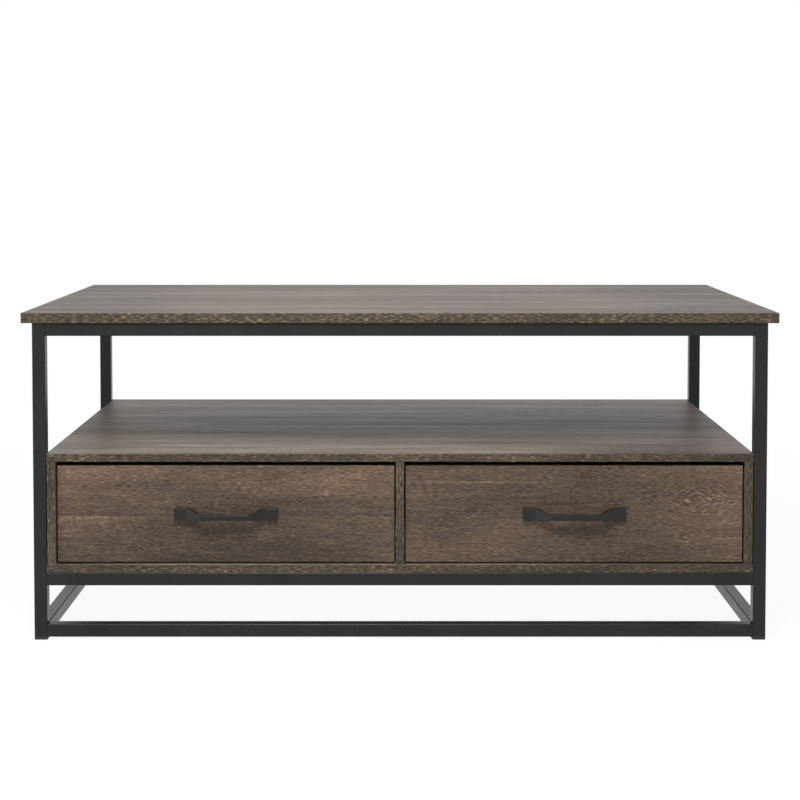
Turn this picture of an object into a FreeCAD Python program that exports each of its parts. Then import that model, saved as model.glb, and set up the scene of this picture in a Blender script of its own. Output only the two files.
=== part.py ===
import FreeCAD, Part
import os

import Sketcher

# Storage coffee table: a bolted square tube frame, a board top, and a low cabinet with two drawers
# under an open shelf. Millimetres. X runs to the right, Y to the back and Z up, and the origin is on
# the floor under the middle of the top. The front is at -Y.

# Driving sizes, one row of the sheet each.
SIZES = {
    # table top
    "top_width": 1100,
    "top_depth": 600,
    "top_thickness": 15,
    "table_height": 480,
    "top_side_overhang": 15,
    "top_front_overhang": 5,
    "top_arris": 1,
    # square tube frame; the base gap is the clear height between base rails and cabinet rails, and the
    # cabinet's side rails stand that rise higher than its long rails
    "tube_size": 19,
    "tube_wall": 1.2,
    "tube_round": 1.5,
    "end_plate": 3,
    "base_gap": 57,
    "side_rail_rise": 6,
    # plastic glides that plug the feet of the legs
    "glide_height": 4,
    "plug_height": 4,
    "plug_gap": 0.2,
    # socket head bolts that hold the long rails to the legs
    "bolt_diameter": 6,
    "bolt_tip": 2,
    "bolt_head_diameter": 10.5,
    "bolt_head_height": 3,
    "bolt_socket": 4,
    "bolt_socket_depth": 1.8,
    "bolt_gap": 0.5,
    "access_gap": 2,
    "thread_gap": 0.1,
    # wood screws: how far each kind bites into the last board that it enters
    "screw_diameter": 4,
    "screw_head_diameter": 8,
    "screw_head_height": 2.4,
    "rail_screw_bite": 9,
    "rail_screw_inset": 150,
    "edge_screw_bite": 25,
    # cam fittings: a bolt screwed into one board, drawn up by a nut let into the other
    "cam_diameter": 12,
    "cam_depth": 9.5,
    "cam_gap": 0.2,
    "cam_setback": 20,
    "cam_inset": 60,
    "cam_bite": 9,
    "cam_thread": 5,
    "cam_shank": 6,
    "cam_neck": 4,
    "cam_neck_length": 3,
    "cam_head_length": 3,
    "cam_slot_length": 7,
    "cam_slot_width": 1.4,
    "cam_slot_depth": 1.5,
    # cabinet boards
    "board_thickness": 12,
    "board_arris": 0.8,
    "opening_height": 151,
    "leg_gap": 0.3,
    "side_inset": 1,
    "back_thickness": 3,
    "back_inset": 12,
    "groove_depth": 5,
    "groove_gap": 0.2,
    # drawer front and box
    "front_thickness": 12,
    "front_recess": 6,
    "front_side_gap": 2,
    "front_bottom_gap": 2,
    "front_top_gap": 6,
    "box_board": 12,
    "box_height": 110,
    "box_length": 450,
    "box_lift": 10,
    "bottom_thickness": 3,
    "bottom_lift": 12,
    "box_fixing_low": 38,
    "box_fixing_high": 88,
    # cast bar handle and its screws
    "handle_length": 150,
    "handle_foot": 18,
    "handle_foot_thickness": 7,
    "handle_arm_run": 21,
    "handle_heel": 9,
    "handle_bar_rise": 3,
    "handle_bar_height": 8,
    "handle_bar_depth": 8,
    "handle_projection": 23,
    "handle_round": 0.8,
    "handle_hole_spacing": 128,
    "handle_hole_depth": 5.5,
    "handle_screw_diameter": 4,
    "handle_screw_bite": 5,
    "handle_screw_head_diameter": 8,
    "handle_screw_head_height": 2.5,
    # roller runners: a channel on the cabinet, a slide on the drawer, a roller on each
    "runner_space": 12.5,
    "runner_sheet": 1.2,
    "channel_setback": 2,
    "channel_height": 26,
    "channel_depth": 10,
    "channel_lip": 3.7,
    "channel_cap": 6,
    "slide_setback": 1,
    "slide_short": 20,
    "slide_tip_gap": 2.6,
    "slide_foot": 10,
    "roller_diameter": 20,
    "roller_width": 5,
    "roller_inset": 3.2,
    "roller_gap": 0.3,
    "roller_recess_diameter": 9.6,
    "roller_recess_depth": 1.4,
    "axle_diameter": 5,
    "axle_gap": 0.1,
    "rivet_diameter": 8,
    "rivet_head": 1.1,
    "rivet_gap": 0.15,
    "channel_axle_setback": 14,
    "slide_axle_setback": 12,
    "drawer_hold": 110,
    "stop_gap": 0.3,
    "stop_height": 6,
    "stop_length": 4,
    "stop_reach": 5,
    "runner_screw_diameter": 3.5,
    "runner_screw_bite": 8,
    "runner_screw_head_diameter": 6.5,
    "runner_screw_head_height": 1.5,
    "channel_screw_front": 38,
    "channel_screw_rear": 14,
    "channel_screw_stagger": 8,
    "slide_screw_inset": 60,
    # how far cutting outlines run past what they cut
    "overrun": 2,
}

doc = FreeCAD.newDocument("storage_coffee_table")
sheet = doc.addObject("Spreadsheet::Sheet", "dims")
for row, (alias, size) in enumerate(SIZES.items(), start=1):
    sheet.set(f"A{row}", alias)
    sheet.set(f"B{row}", str(size))
    sheet.setAlias(f"B{row}", alias)
doc.recompute()

# Places that several pieces share, as expressions over the sheet.
TUBE = "dims.tube_size"
BOARD = "dims.board_thickness"
FRAME_X = "(dims.top_width / 2 - dims.top_side_overhang)"
FRAME_Y = "(dims.top_depth / 2 - dims.top_front_overhang)"
LEG_INNER_X = f"({FRAME_X} - {TUBE})"
LEG_INNER_Y = f"({FRAME_Y} - {TUBE})"
BASE_Z = "dims.glide_height"
CABINET_RAIL_Z = f"({BASE_Z} + {TUBE} + dims.base_gap)"
CABINET_Z = f"({CABINET_RAIL_Z} + {TUBE})"
OPENING_Z = f"({CABINET_Z} + {BOARD})"
SHELF_Z = f"({OPENING_Z} + dims.opening_height)"
TOP_Z = "(dims.table_height - dims.top_thickness)"
TOP_RAIL_Z = f"({TOP_Z} - {TUBE})"
RAIL_LENGTH = f"(2 * {LEG_INNER_X})"
CARCASS_X = f"({LEG_INNER_X} - dims.leg_gap)"
SIDE_INNER_X = f"({LEG_INNER_X} - dims.side_inset - {BOARD})"
OPENING_WIDTH = f"({SIDE_INNER_X} - {BOARD} / 2)"
BAY_X = f"({BOARD} / 2 + {OPENING_WIDTH} / 2)"
BACK_Y = f"({FRAME_Y} - dims.back_inset - dims.back_thickness)"
GROOVE_FIT = "(dims.groove_depth - dims.groove_gap)"
FRONT_Y = f"(dims.front_recess - {FRAME_Y})"
FRONT_Z = f"({OPENING_Z} + dims.front_bottom_gap)"
FRONT_WIDTH = f"({OPENING_WIDTH} - 2 * dims.front_side_gap)"
FRONT_HEIGHT = "(dims.opening_height - dims.front_bottom_gap - dims.front_top_gap)"
BOX_Y = f"({FRONT_Y} + dims.front_thickness)"
BOX_Z = f"({FRONT_Z} + dims.box_lift)"
BOX_WIDTH = f"({OPENING_WIDTH} - 2 * dims.runner_space)"
BOX_INSIDE = f"({BOX_WIDTH} - 2 * dims.box_board)"
AXLE_Z = "(dims.runner_sheet + dims.roller_gap + dims.roller_diameter / 2)"

ALONG_X = FreeCAD.Vector(1, 0, 0)
ALONG_Y = FreeCAD.Vector(0, 1, 0)
ALONG_Z = FreeCAD.Vector(0, 0, 1)

# Fasteners are modelled pointing up; these turn them the way they are driven.
UP = FreeCAD.Rotation()
RIGHT = FreeCAD.Rotation(ALONG_Z, ALONG_X)
LEFT = FreeCAD.Rotation(ALONG_Z, -ALONG_X)
FORWARD = FreeCAD.Rotation(ALONG_Z, -ALONG_Y)

# Which way each origin plane's normal points along its own axis.
NORMALS = {"XY_Plane": 1, "XZ_Plane": -1, "YZ_Plane": 1}

# A tangent this close to an axis counts as running along it.
ALIGNED_SHARE = 0.999

nodes = []


def number(expression):
    """The present value of an expression over the sheet."""
    return float(sheet.evalExpression(expression))


def place(piece, x, y, z):
    """Bind a piece's place in the table's frame."""
    piece.setExpression(".Placement.Base.x", x)
    piece.setExpression(".Placement.Base.y", y)
    piece.setExpression(".Placement.Base.z", z)


def node(piece, label):
    """Name a piece and list it as one of the table's sub-parts."""
    piece.Label = label
    nodes.append(piece)
    return piece


def rectangle(left, low, right, high):
    """The corners of a rectangle."""
    return [(left, low), (right, low), (right, high), (left, high)]


def pin(sketch, geometry, point, x, y):
    """Hold a sketch point at two coordinates, both expressions."""
    for kind, expression in (("DistanceX", x), ("DistanceY", y)):
        held = Sketcher.Constraint(kind, -1, 1, geometry, point, number(expression))
        sketch.setExpression(f"Constraints[{sketch.addConstraint(held)}]", expression)


def draw(body, plane, level, shapes):
    """A sketch along an origin plane. A list of corners is an outline, (x, y, diameter) a circle."""
    origin_plane = next(f for f in body.Origin.OriginFeatures if f.Role == plane)
    sketch = body.newObject("Sketcher::SketchObject", f"{body.Name}_sketch")
    sketch.AttachmentSupport = [(origin_plane, "")]
    sketch.MapMode = "FlatFace"
    sketch.setExpression(".AttachmentOffset.Base.z", f"{NORMALS[plane]} * ({level})")
    for shape in shapes:
        if isinstance(shape, tuple):
            x, y, diameter = shape
            centre = FreeCAD.Vector(number(x), number(y), 0)
            ring = sketch.addGeometry(Part.Circle(centre, ALONG_Z, number(diameter) / 2))
            held = Sketcher.Constraint("Diameter", ring, number(diameter))
            sketch.setExpression(f"Constraints[{sketch.addConstraint(held)}]", diameter)
            pin(sketch, ring, 3, x, y)
            continue
        corners = [FreeCAD.Vector(number(x), number(y), 0) for x, y in shape]
        ends = corners[1:] + corners[:1]
        sides = [sketch.addGeometry(Part.LineSegment(a, b)) for a, b in zip(corners, ends)]
        for side, following in zip(sides, sides[1:] + sides[:1]):
            sketch.addConstraint(Sketcher.Constraint("Coincident", side, 2, following, 1))
        for side, (x, y) in zip(sides, shape):
            pin(sketch, side, 1, x, y)
    return sketch


def pad(body, plane, level, shapes, length, toward=1):
    """Add a prism that grows from the level towards the plus or minus end of the plane's axis."""
    feature = body.newObject("PartDesign::Pad", f"{body.Name}_pad")
    feature.Profile = draw(body, plane, level, shapes)
    feature.Reversed = NORMALS[plane] != toward
    feature.setExpression("Length", length)
    doc.recompute()


def pocket(body, plane, level, shapes, depth, toward=1, both_ways=False):
    """Cut a prism from the level towards plus or minus, or half each way. No depth cuts right through."""
    volume = body.Shape.Volume
    feature = body.newObject("PartDesign::Pocket", f"{body.Name}_pocket")
    feature.Profile = draw(body, plane, level, shapes)
    feature.Reversed = NORMALS[plane] == toward
    feature.Midplane = both_ways
    if depth is None:
        feature.Type = "ThroughAll"
    else:
        feature.setExpression("Length", depth)
    doc.recompute()
    if not body.Shape.Volume < volume:
        raise RuntimeError(f"{body.Label}: a pocket cuts nothing")


def turn(body, axis, profile):
    """Revolve a profile of (distance along the axis, radius) corners about one of the body's axes."""
    if axis == "X":
        plane, line, corners = "XY_Plane", "H_Axis", profile
    else:
        plane, line, corners = "XZ_Plane", "V_Axis", [(radius, along) for along, radius in profile]
    feature = body.newObject("PartDesign::Revolution", f"{body.Name}_turning")
    feature.Profile = draw(body, plane, "0", [corners])
    feature.ReferenceAxis = (feature.Profile[0], [line])
    doc.recompute()


def running(axis):
    """A test that picks straight edges along an axis."""
    return lambda edge: abs(edge.tangentAt(edge.FirstParameter).dot(axis)) > ALIGNED_SHARE


def round_edges(body, radius, chosen):
    """Fillet the chosen edges of the solid so far."""
    solid = body.Tip
    edges = [f"Edge{i}" for i, edge in enumerate(solid.Shape.Edges, start=1) if chosen(edge)]
    feature = body.newObject("PartDesign::Fillet", f"{body.Name}_arris")
    feature.Base = (solid, edges)
    feature.setExpression("Radius", radius)
    doc.recompute()


def new_body(label):
    """An empty body whose own origin is a corner or the axis of its piece."""
    body = doc.addObject("PartDesign::Body", label)
    body.Label = label
    return body


def slab(label, width, depth, height):
    """A square edged board with a corner at the body's origin."""
    body = new_body(label)
    pad(body, "XY_Plane", "0", [rectangle("0", "0", width, depth)], height)
    return body


def tube(label, plane, length, plate="0"):
    """A square tube along the plane's axis. A plate closes each end where one is given."""
    body = new_body(label)
    axis = {"XY_Plane": ALONG_Z, "XZ_Plane": ALONG_Y, "YZ_Plane": ALONG_X}[plane]
    inside = f"({TUBE} - dims.tube_wall)"
    bore = [rectangle("dims.tube_wall", "dims.tube_wall", inside, inside)]
    pad(body, plane, "0", [rectangle("0", "0", TUBE, TUBE)], length)
    round_edges(body, "dims.tube_round", running(axis))
    if plate == "0":
        pocket(body, plane, "0", bore, None)
    else:
        pocket(body, plane, f"{length} / 2", bore, f"{length} - 2 * {plate}", both_ways=True)
    return body


def fastener(label, diameter, length, head_diameter, head_height, tip="0"):
    """A bolt or screw driven upwards, its head below its own origin. A tip makes its end pointed."""
    body = new_body(label)
    profile = [
        (f"-{head_height}", "0"),
        (f"-{head_height}", f"{head_diameter} / 2"),
        ("0", f"{head_diameter} / 2"),
        ("0", f"{diameter} / 2"),
        (f"{length} - {tip}", f"{diameter} / 2"),
        (length, "0"),
    ]
    turn(body, "Z", profile)
    return body


def copies(source, places):
    """Links to one body, each at its own (x, y, z) and turned by a rotation."""
    links = []
    for x, y, z, rotation in places:
        link = doc.addObject("App::Link", f"{source.Name}_link")
        link.LinkedObject = source
        link.Placement = FreeCAD.Placement(FreeCAD.Vector(), rotation)
        place(link, x, y, z)
        links.append(link)
    return links


def together(label, pieces):
    """One node of several separate solids."""
    group = doc.addObject("Part::Compound", label)
    group.Links = pieces
    doc.recompute()
    return node(group, label)


def mirrored(source, middle_x):
    """The other hand of a piece, across an upright plane at middle_x."""
    other = doc.addObject("Part::Mirroring", f"{source.Name}_mirrored")
    other.Source = source
    other.Normal = ALONG_X
    other.setExpression("Base.x", middle_x)
    doc.recompute()
    return other


# The top: one board with eased edges, and blind holes for the screws that come up through the rails.
RAIL_SCREWS = ["dims.rail_screw_inset", f"{RAIL_LENGTH} / 2", f"{RAIL_LENGTH} - dims.rail_screw_inset"]
RAIL_MIDDLES_Y = [f"({TUBE} / 2 - {FRAME_Y})", f"({FRAME_Y} - {TUBE} / 2)"]
SCREW_PILOT = "dims.screw_diameter + dims.thread_gap"
SCREW_CLEARANCE = "dims.screw_diameter + dims.bolt_gap"
SCREW_ACCESS = "dims.screw_head_diameter + dims.access_gap"


def rail_screw_holes(board, edge_x, edge_y):
    """Pilot holes in a board's underside, over the screws of the two long rails below it."""
    places = [
        (f"{x} - {LEG_INNER_X} + {edge_x}", f"{y} + {edge_y}", SCREW_PILOT)
        for x in RAIL_SCREWS
        for y in RAIL_MIDDLES_Y
    ]
    pocket(board, "XY_Plane", "0", places, "dims.rail_screw_bite + dims.thread_gap")


table_top = slab("table_top", "dims.top_width", "dims.top_depth", "dims.top_thickness")
round_edges(table_top, "dims.top_arris", lambda edge: True)
rail_screw_holes(table_top, "dims.top_width / 2", "dims.top_depth / 2")
place(table_top, "-dims.top_width / 2", "-dims.top_depth / 2", TOP_Z)
node(table_top, "table_top")

# Four like legs. At the middle of each long rail a bolt goes in through a wide hole in the outer wall,
# and its head bears on the inner wall.
RAIL_HEIGHTS = {"top": TOP_RAIL_Z, "cabinet": CABINET_RAIL_Z, "base": BASE_Z}
BOLT_HEIGHTS = [f"({z} + {TUBE} / 2)" for z in RAIL_HEIGHTS.values()]
LEG_CORNERS = {
    "front_left": (f"-{FRAME_X}", f"-{FRAME_Y}"),
    "front_right": (LEG_INNER_X, f"-{FRAME_Y}"),
    "rear_left": (f"-{FRAME_X}", LEG_INNER_Y),
    "rear_right": (LEG_INNER_X, LEG_INNER_Y),
}
for corner, (x, y) in LEG_CORNERS.items():
    leg = tube(f"leg_{corner}", "XY_Plane", f"({TOP_Z} - {BASE_Z})")
    clearances = [
        (f"{TUBE} / 2", f"{z} - {BASE_Z}", "dims.bolt_diameter + dims.bolt_gap") for z in BOLT_HEIGHTS
    ]
    pocket(leg, "YZ_Plane", "0", clearances, None)
    access = [(along, up, "dims.bolt_head_diameter + dims.access_gap") for along, up, _ in clearances]
    outer, inward = ("0", 1) if "left" in corner else (TUBE, -1)
    pocket(leg, "YZ_Plane", outer, access, f"{TUBE} / 2", toward=inward)
    place(leg, x, y, BASE_Z)
    node(leg, f"leg_{corner}")

# Long rails at three heights, front and rear: tubes closed by tapped end plates. The top and cabinet
# rails are also drilled upright for the screws that hold the boards lying on them. Their heads go in
# through wide holes in the lower wall and bear on the upper wall.
TAPPED = (f"{TUBE} / 2", f"{TUBE} / 2", "dims.bolt_diameter + dims.thread_gap")
for level, z in RAIL_HEIGHTS.items():
    for end, y in (("front", f"-{FRAME_Y}"), ("rear", LEG_INNER_Y)):
        rail = tube(f"{level}_rail_{end}", "YZ_Plane", RAIL_LENGTH, "dims.end_plate")
        pocket(rail, "YZ_Plane", "0", [TAPPED], None)
        if level != "base":
            pocket(rail, "XY_Plane", "0", [(x, f"{TUBE} / 2", SCREW_CLEARANCE) for x in RAIL_SCREWS], None)
            access = [(x, f"{TUBE} / 2", SCREW_ACCESS) for x in RAIL_SCREWS]
            pocket(rail, "XY_Plane", "0", access, f"{TUBE} / 2")
        place(rail, f"-{LEG_INNER_X}", y, z)
        node(rail, f"{level}_rail_{end}")

# Side rails, welded between a front and a rear leg: a left and a right one each. Those at the cabinet
# stand higher than the long rails, so that they keep the bottom board from shifting sideways.
SIDE_RAIL_HEIGHTS = dict(RAIL_HEIGHTS, cabinet=f"({CABINET_RAIL_Z} + dims.side_rail_rise)")
side_rail = tube("side_rail", "XZ_Plane", f"(2 * {LEG_INNER_Y})")
for level, z in SIDE_RAIL_HEIGHTS.items():
    ends = [(x, f"-{LEG_INNER_Y}", z, UP) for x in (f"-{FRAME_X}", LEG_INNER_X)]
    together(f"{level}_side_rails", copies(side_rail, ends))

# Glides: a square foot under each leg with a plug inside the tube.
PLUG_EDGE = "(dims.tube_wall + dims.plug_gap)"
PLUG_FAR = f"({TUBE} - {PLUG_EDGE})"
glide = slab("glide", TUBE, TUBE, "dims.glide_height")
round_edges(glide, "dims.tube_round", running(ALONG_Z))
plug = [rectangle(PLUG_EDGE, PLUG_EDGE, PLUG_FAR, PLUG_FAR)]
pad(glide, "XY_Plane", "dims.glide_height", plug, "dims.plug_height")
together("foot_glides", copies(glide, [(x, y, "0", UP) for x, y in LEG_CORNERS.values()]))

# Socket head bolts, from inside the legs into the rails' end plates.
BOLT_LENGTH = "(dims.tube_wall + dims.end_plate + dims.bolt_tip)"
BOLT_SEAT_X = f"({LEG_INNER_X} + dims.tube_wall)"
SOCKET_FLAT = "dims.bolt_socket / 2"
SOCKET_TIP = "dims.bolt_socket / sqrt(3)"
bolt = fastener(
    "rail_bolt", "dims.bolt_diameter", BOLT_LENGTH, "dims.bolt_head_diameter", "dims.bolt_head_height"
)
hexagon = [
    (SOCKET_TIP, "0"),
    (f"{SOCKET_TIP} / 2", SOCKET_FLAT),
    (f"-{SOCKET_TIP} / 2", SOCKET_FLAT),
    (f"-{SOCKET_TIP}", "0"),
    (f"-{SOCKET_TIP} / 2", f"-{SOCKET_FLAT}"),
    (f"{SOCKET_TIP} / 2", f"-{SOCKET_FLAT}"),
]
pocket(bolt, "XY_Plane", "-dims.bolt_head_height", [hexagon], "dims.bolt_socket_depth")
bolt_places = [
    (x, y, z, driven)
    for x, driven in ((f"-{BOLT_SEAT_X}", RIGHT), (BOLT_SEAT_X, LEFT))
    for y in RAIL_MIDDLES_Y
    for z in BOLT_HEIGHTS
]
together("rail_bolts", copies(bolt, bolt_places))


def wood_screw(label, length):
    """A pointed screw of the size that joins boards."""
    head = ("dims.screw_head_diameter", "dims.screw_head_height")
    return fastener(label, "dims.screw_diameter", length, *head, tip="dims.screw_diameter")


# Screws from inside the top rails up into the top, and from inside the cabinet rails into the cabinet.
SCREW_SEAT = f"({TUBE} - dims.tube_wall)"
rail_screw = wood_screw("rail_screw", "(dims.tube_wall + dims.rail_screw_bite)")
for label, z in (("top_screws", TOP_RAIL_Z), ("cabinet_screws", CABINET_RAIL_Z)):
    seat = f"{z} + {SCREW_SEAT}"
    places = [(f"{x} - {LEG_INNER_X}", y, seat, UP) for x in RAIL_SCREWS for y in RAIL_MIDDLES_Y]
    together(label, copies(rail_screw, places))

# A cam fitting. The bolt points up into the board that it is screwed into, from the joint at its own
# origin. The nut's own Z points into its board, and its own X to the joint.
CAM_HEAD_FAR = "(dims.cam_setback + dims.cam_head_length / 2)"
CAM_HEAD_NEAR = "(dims.cam_setback - dims.cam_head_length / 2)"
CAM_NECK_NEAR = f"({CAM_HEAD_NEAR} - dims.cam_neck_length)"
CAM_HOLE = "dims.cam_diameter + dims.cam_gap"
CAM_HOLE_DEPTH = "dims.cam_depth + dims.cam_gap"
CAM_BOLT_HOLE = "dims.cam_shank + dims.bolt_gap"
CAM_PILOT = "dims.cam_thread + dims.thread_gap"
CAM_PILOT_DEPTH = "dims.cam_bite + dims.thread_gap"
cam_bolt = new_body("cam_bolt")
CAM_BOLT_PROFILE = [
    (f"-{CAM_HEAD_FAR}", "0"),
    (f"-{CAM_HEAD_FAR}", "dims.cam_shank / 2"),
    (f"-{CAM_HEAD_NEAR}", "dims.cam_shank / 2"),
    (f"-{CAM_HEAD_NEAR}", "dims.cam_neck / 2"),
    (f"-{CAM_NECK_NEAR}", "dims.cam_neck / 2"),
    (f"-{CAM_NECK_NEAR}", "dims.cam_shank / 2"),
    ("0", "dims.cam_shank / 2"),
    ("0", "dims.cam_thread / 2"),
    ("dims.cam_bite", "dims.cam_thread / 2"),
    ("dims.cam_bite", "0"),
]
turn(cam_bolt, "Z", CAM_BOLT_PROFILE)


def cam_nut(label, board):
    """A nut for a board of a given thickness, with a mouth for the bolt's head and a driver slot."""
    nut = new_body(label)
    pad(nut, "XY_Plane", "0", [("0", "0", "dims.cam_diameter")], "dims.cam_depth")
    mouth = [("0", f"{board} / 2", CAM_BOLT_HOLE)]
    mouth_depth = "dims.cam_diameter / 2 + dims.cam_head_length / 2 + dims.cam_gap"
    pocket(nut, "YZ_Plane", "dims.cam_diameter / 2", mouth, mouth_depth, toward=-1)
    half_length = "dims.cam_slot_length / 2"
    half_width = "dims.cam_slot_width / 2"
    slot = [rectangle(f"-{half_length}", f"-{half_width}", half_length, half_width)]
    pocket(nut, "XY_Plane", "0", slot, "dims.cam_slot_depth")
    return nut


# The cabinet: a shelf and a bottom board between the legs, two sides, a divider, and a thin back held
# in grooves. The fronts of the boards are flush with the legs and have eased edges. Cam fittings hang
# the uprights from the shelf, and screws hold them to the bottom.
GROOVE_WIDTH = "(dims.back_thickness + 2 * dims.groove_gap)"
GROOVE_Y = f"({BACK_Y} + {FRAME_Y} - dims.groove_gap)"
GROOVE_BACK_Y = f"({GROOVE_Y} + {GROOVE_WIDTH})"
BACK_HALF_X = f"({SIDE_INNER_X} + {GROOVE_FIT})"
SIDE_MIDDLE_X = f"({SIDE_INNER_X} + {BOARD} / 2)"
UPRIGHTS_X = [f"(-{SIDE_MIDDLE_X})", "0", SIDE_MIDDLE_X]
FIXINGS_Y = ["dims.cam_inset", f"({BACK_Y} + {FRAME_Y} - dims.cam_inset)"]
CAM_Z = "(dims.opening_height - dims.cam_setback)"
EDGE_PILOT_DEPTH = "dims.edge_screw_bite + dims.thread_gap"


def ease_front(board, axis):
    """Ease the two long edges of a board's front face."""
    along = running(axis)
    round_edges(board, "dims.board_arris", lambda edge: along(edge) and edge.CenterOfMass.y < number(TUBE))


def wide_board(label, z, groove_level, groove_toward):
    """A board between the left and right legs, grooved above or below for the cabinet back."""
    board = slab(label, f"2 * {CARCASS_X}", f"2 * {FRAME_Y}", BOARD)
    ease_front(board, ALONG_X)
    left = f"({CARCASS_X} - {BACK_HALF_X} - dims.groove_gap)"
    groove = rectangle(left, GROOVE_Y, f"2 * {CARCASS_X} - {left}", GROOVE_BACK_Y)
    pocket(board, "XY_Plane", groove_level, [groove], "dims.groove_depth", toward=groove_toward)
    place(board, f"-{CARCASS_X}", f"-{FRAME_Y}", z)
    return node(board, label)


def upright(label, depth, x, cam_level, cam_toward):
    """A side or divider: cam holes in one face, bolt holes in the top edge, pilot holes in the lower."""
    board = slab(label, BOARD, depth, "dims.opening_height")
    ease_front(board, ALONG_Z)
    cams = [(y, CAM_Z, CAM_HOLE) for y in FIXINGS_Y]
    pocket(board, "YZ_Plane", cam_level, cams, CAM_HOLE_DEPTH, toward=cam_toward)
    bolts = [(f"{BOARD} / 2", y, CAM_BOLT_HOLE) for y in FIXINGS_Y]
    pocket(board, "XY_Plane", "dims.opening_height", bolts, "dims.cam_setback", toward=-1)
    pilots = [(f"{BOARD} / 2", y, SCREW_PILOT) for y in FIXINGS_Y]
    pocket(board, "XY_Plane", "0", pilots, EDGE_PILOT_DEPTH)
    place(board, x, f"-{FRAME_Y}", OPENING_Z)
    return board


def fixings_under(x_edge, diameter):
    """Circles on a wide board where the uprights' fixings pass."""
    return [(f"{x} + {x_edge}", y, diameter) for x in UPRIGHTS_X for y in FIXINGS_Y]


shelf = wide_board("shelf_board", SHELF_Z, "0", 1)
pocket(shelf, "XY_Plane", "0", fixings_under(CARCASS_X, CAM_PILOT), CAM_PILOT_DEPTH)
cabinet_bottom = wide_board("cabinet_bottom", CABINET_Z, BOARD, -1)
rail_screw_holes(cabinet_bottom, CARCASS_X, FRAME_Y)
pocket(cabinet_bottom, "XY_Plane", "0", fixings_under(CARCASS_X, SCREW_CLEARANCE), None)

# Runner screws sit where no roller passes. Those of left and right channels are staggered, because a
# channel of each hand shares the divider.
SHEET = "dims.runner_sheet"
CHANNEL_LENGTH = "dims.box_length"
CHANNEL_Y = f"({BOX_Y} + dims.channel_setback)"
LEFT_CHANNEL_SCREWS = ["dims.channel_screw_front", f"({CHANNEL_LENGTH} - dims.channel_screw_rear)"]
RIGHT_CHANNEL_SCREWS = [f"({y} + dims.channel_screw_stagger)" for y in LEFT_CHANNEL_SCREWS]
RUNNER_SCREW_Z = f"({BOX_Z} + {AXLE_Z})"
RUNNER_PILOT = "dims.runner_screw_diameter + dims.thread_gap"
RUNNER_PILOT_DEPTH = "dims.runner_screw_bite + dims.thread_gap"
RUNNER_CLEARANCE = "dims.runner_screw_diameter + dims.bolt_gap"


def channel_pilots(board, level, toward, screws):
    """Pilot holes for a channel's screws in one face of an upright."""
    holes = [
        (f"{CHANNEL_Y} + {FRAME_Y} + {y}", f"{RUNNER_SCREW_Z} - {OPENING_Z}", RUNNER_PILOT) for y in screws
    ]
    pocket(board, "YZ_Plane", level, holes, RUNNER_PILOT_DEPTH, toward=toward)


SIDE_GROOVE = rectangle(GROOVE_Y, "0", GROOVE_BACK_Y, "dims.opening_height")
left_side = upright("cabinet_side_left", f"2 * {FRAME_Y}", f"-{SIDE_INNER_X} - {BOARD}", BOARD, -1)
pocket(left_side, "YZ_Plane", BOARD, [SIDE_GROOVE], "dims.groove_depth", toward=-1)
channel_pilots(left_side, BOARD, -1, LEFT_CHANNEL_SCREWS)
node(left_side, "cabinet_side_left")
right_side = upright("cabinet_side_right", f"2 * {FRAME_Y}", SIDE_INNER_X, "0", 1)
pocket(right_side, "YZ_Plane", "0", [SIDE_GROOVE], "dims.groove_depth")
channel_pilots(right_side, "0", 1, RIGHT_CHANNEL_SCREWS)
node(right_side, "cabinet_side_right")
divider = upright("cabinet_divider", f"{BACK_Y} + {FRAME_Y}", f"-{BOARD} / 2", "0", 1)
channel_pilots(divider, "0", 1, RIGHT_CHANNEL_SCREWS)
channel_pilots(divider, BOARD, -1, LEFT_CHANNEL_SCREWS)
node(divider, "cabinet_divider")

BACK_HEIGHT = f"dims.opening_height + 2 * {GROOVE_FIT}"
back = slab("cabinet_back", f"2 * {BACK_HALF_X}", "dims.back_thickness", BACK_HEIGHT)
place(back, f"-{BACK_HALF_X}", BACK_Y, f"{OPENING_Z} - {GROOVE_FIT}")
node(back, "cabinet_back")

UPRIGHT_FACES = [(f"-{SIDE_INNER_X}", -ALONG_X), (f"-{BOARD} / 2", ALONG_X), (SIDE_INNER_X, ALONG_X)]
cabinet_nut = cam_nut("cabinet_cam_nut", BOARD)
UPRIGHT_FACINGS = [(x, FreeCAD.Rotation(ALONG_Z, FreeCAD.Vector(), i, "ZXY")) for x, i in UPRIGHT_FACES]
nut_places = [
    (x, f"{y} - {FRAME_Y}", f"{OPENING_Z} + {CAM_Z}", facing)
    for x, facing in UPRIGHT_FACINGS
    for y in FIXINGS_Y
]
bolt_places = [(x, f"{y} - {FRAME_Y}", SHELF_Z, UP) for x in UPRIGHTS_X for y in FIXINGS_Y]
together("cabinet_cam_fittings", copies(cam_bolt, bolt_places) + copies(cabinet_nut, nut_places))
upright_screw = wood_screw("upright_screw", f"({BOARD} + dims.edge_screw_bite)")
screw_places = [(x, f"{y} - {FRAME_Y}", CABINET_Z, UP) for x in UPRIGHTS_X for y in FIXINGS_Y]
together("upright_screws", copies(upright_screw, screw_places))

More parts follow.
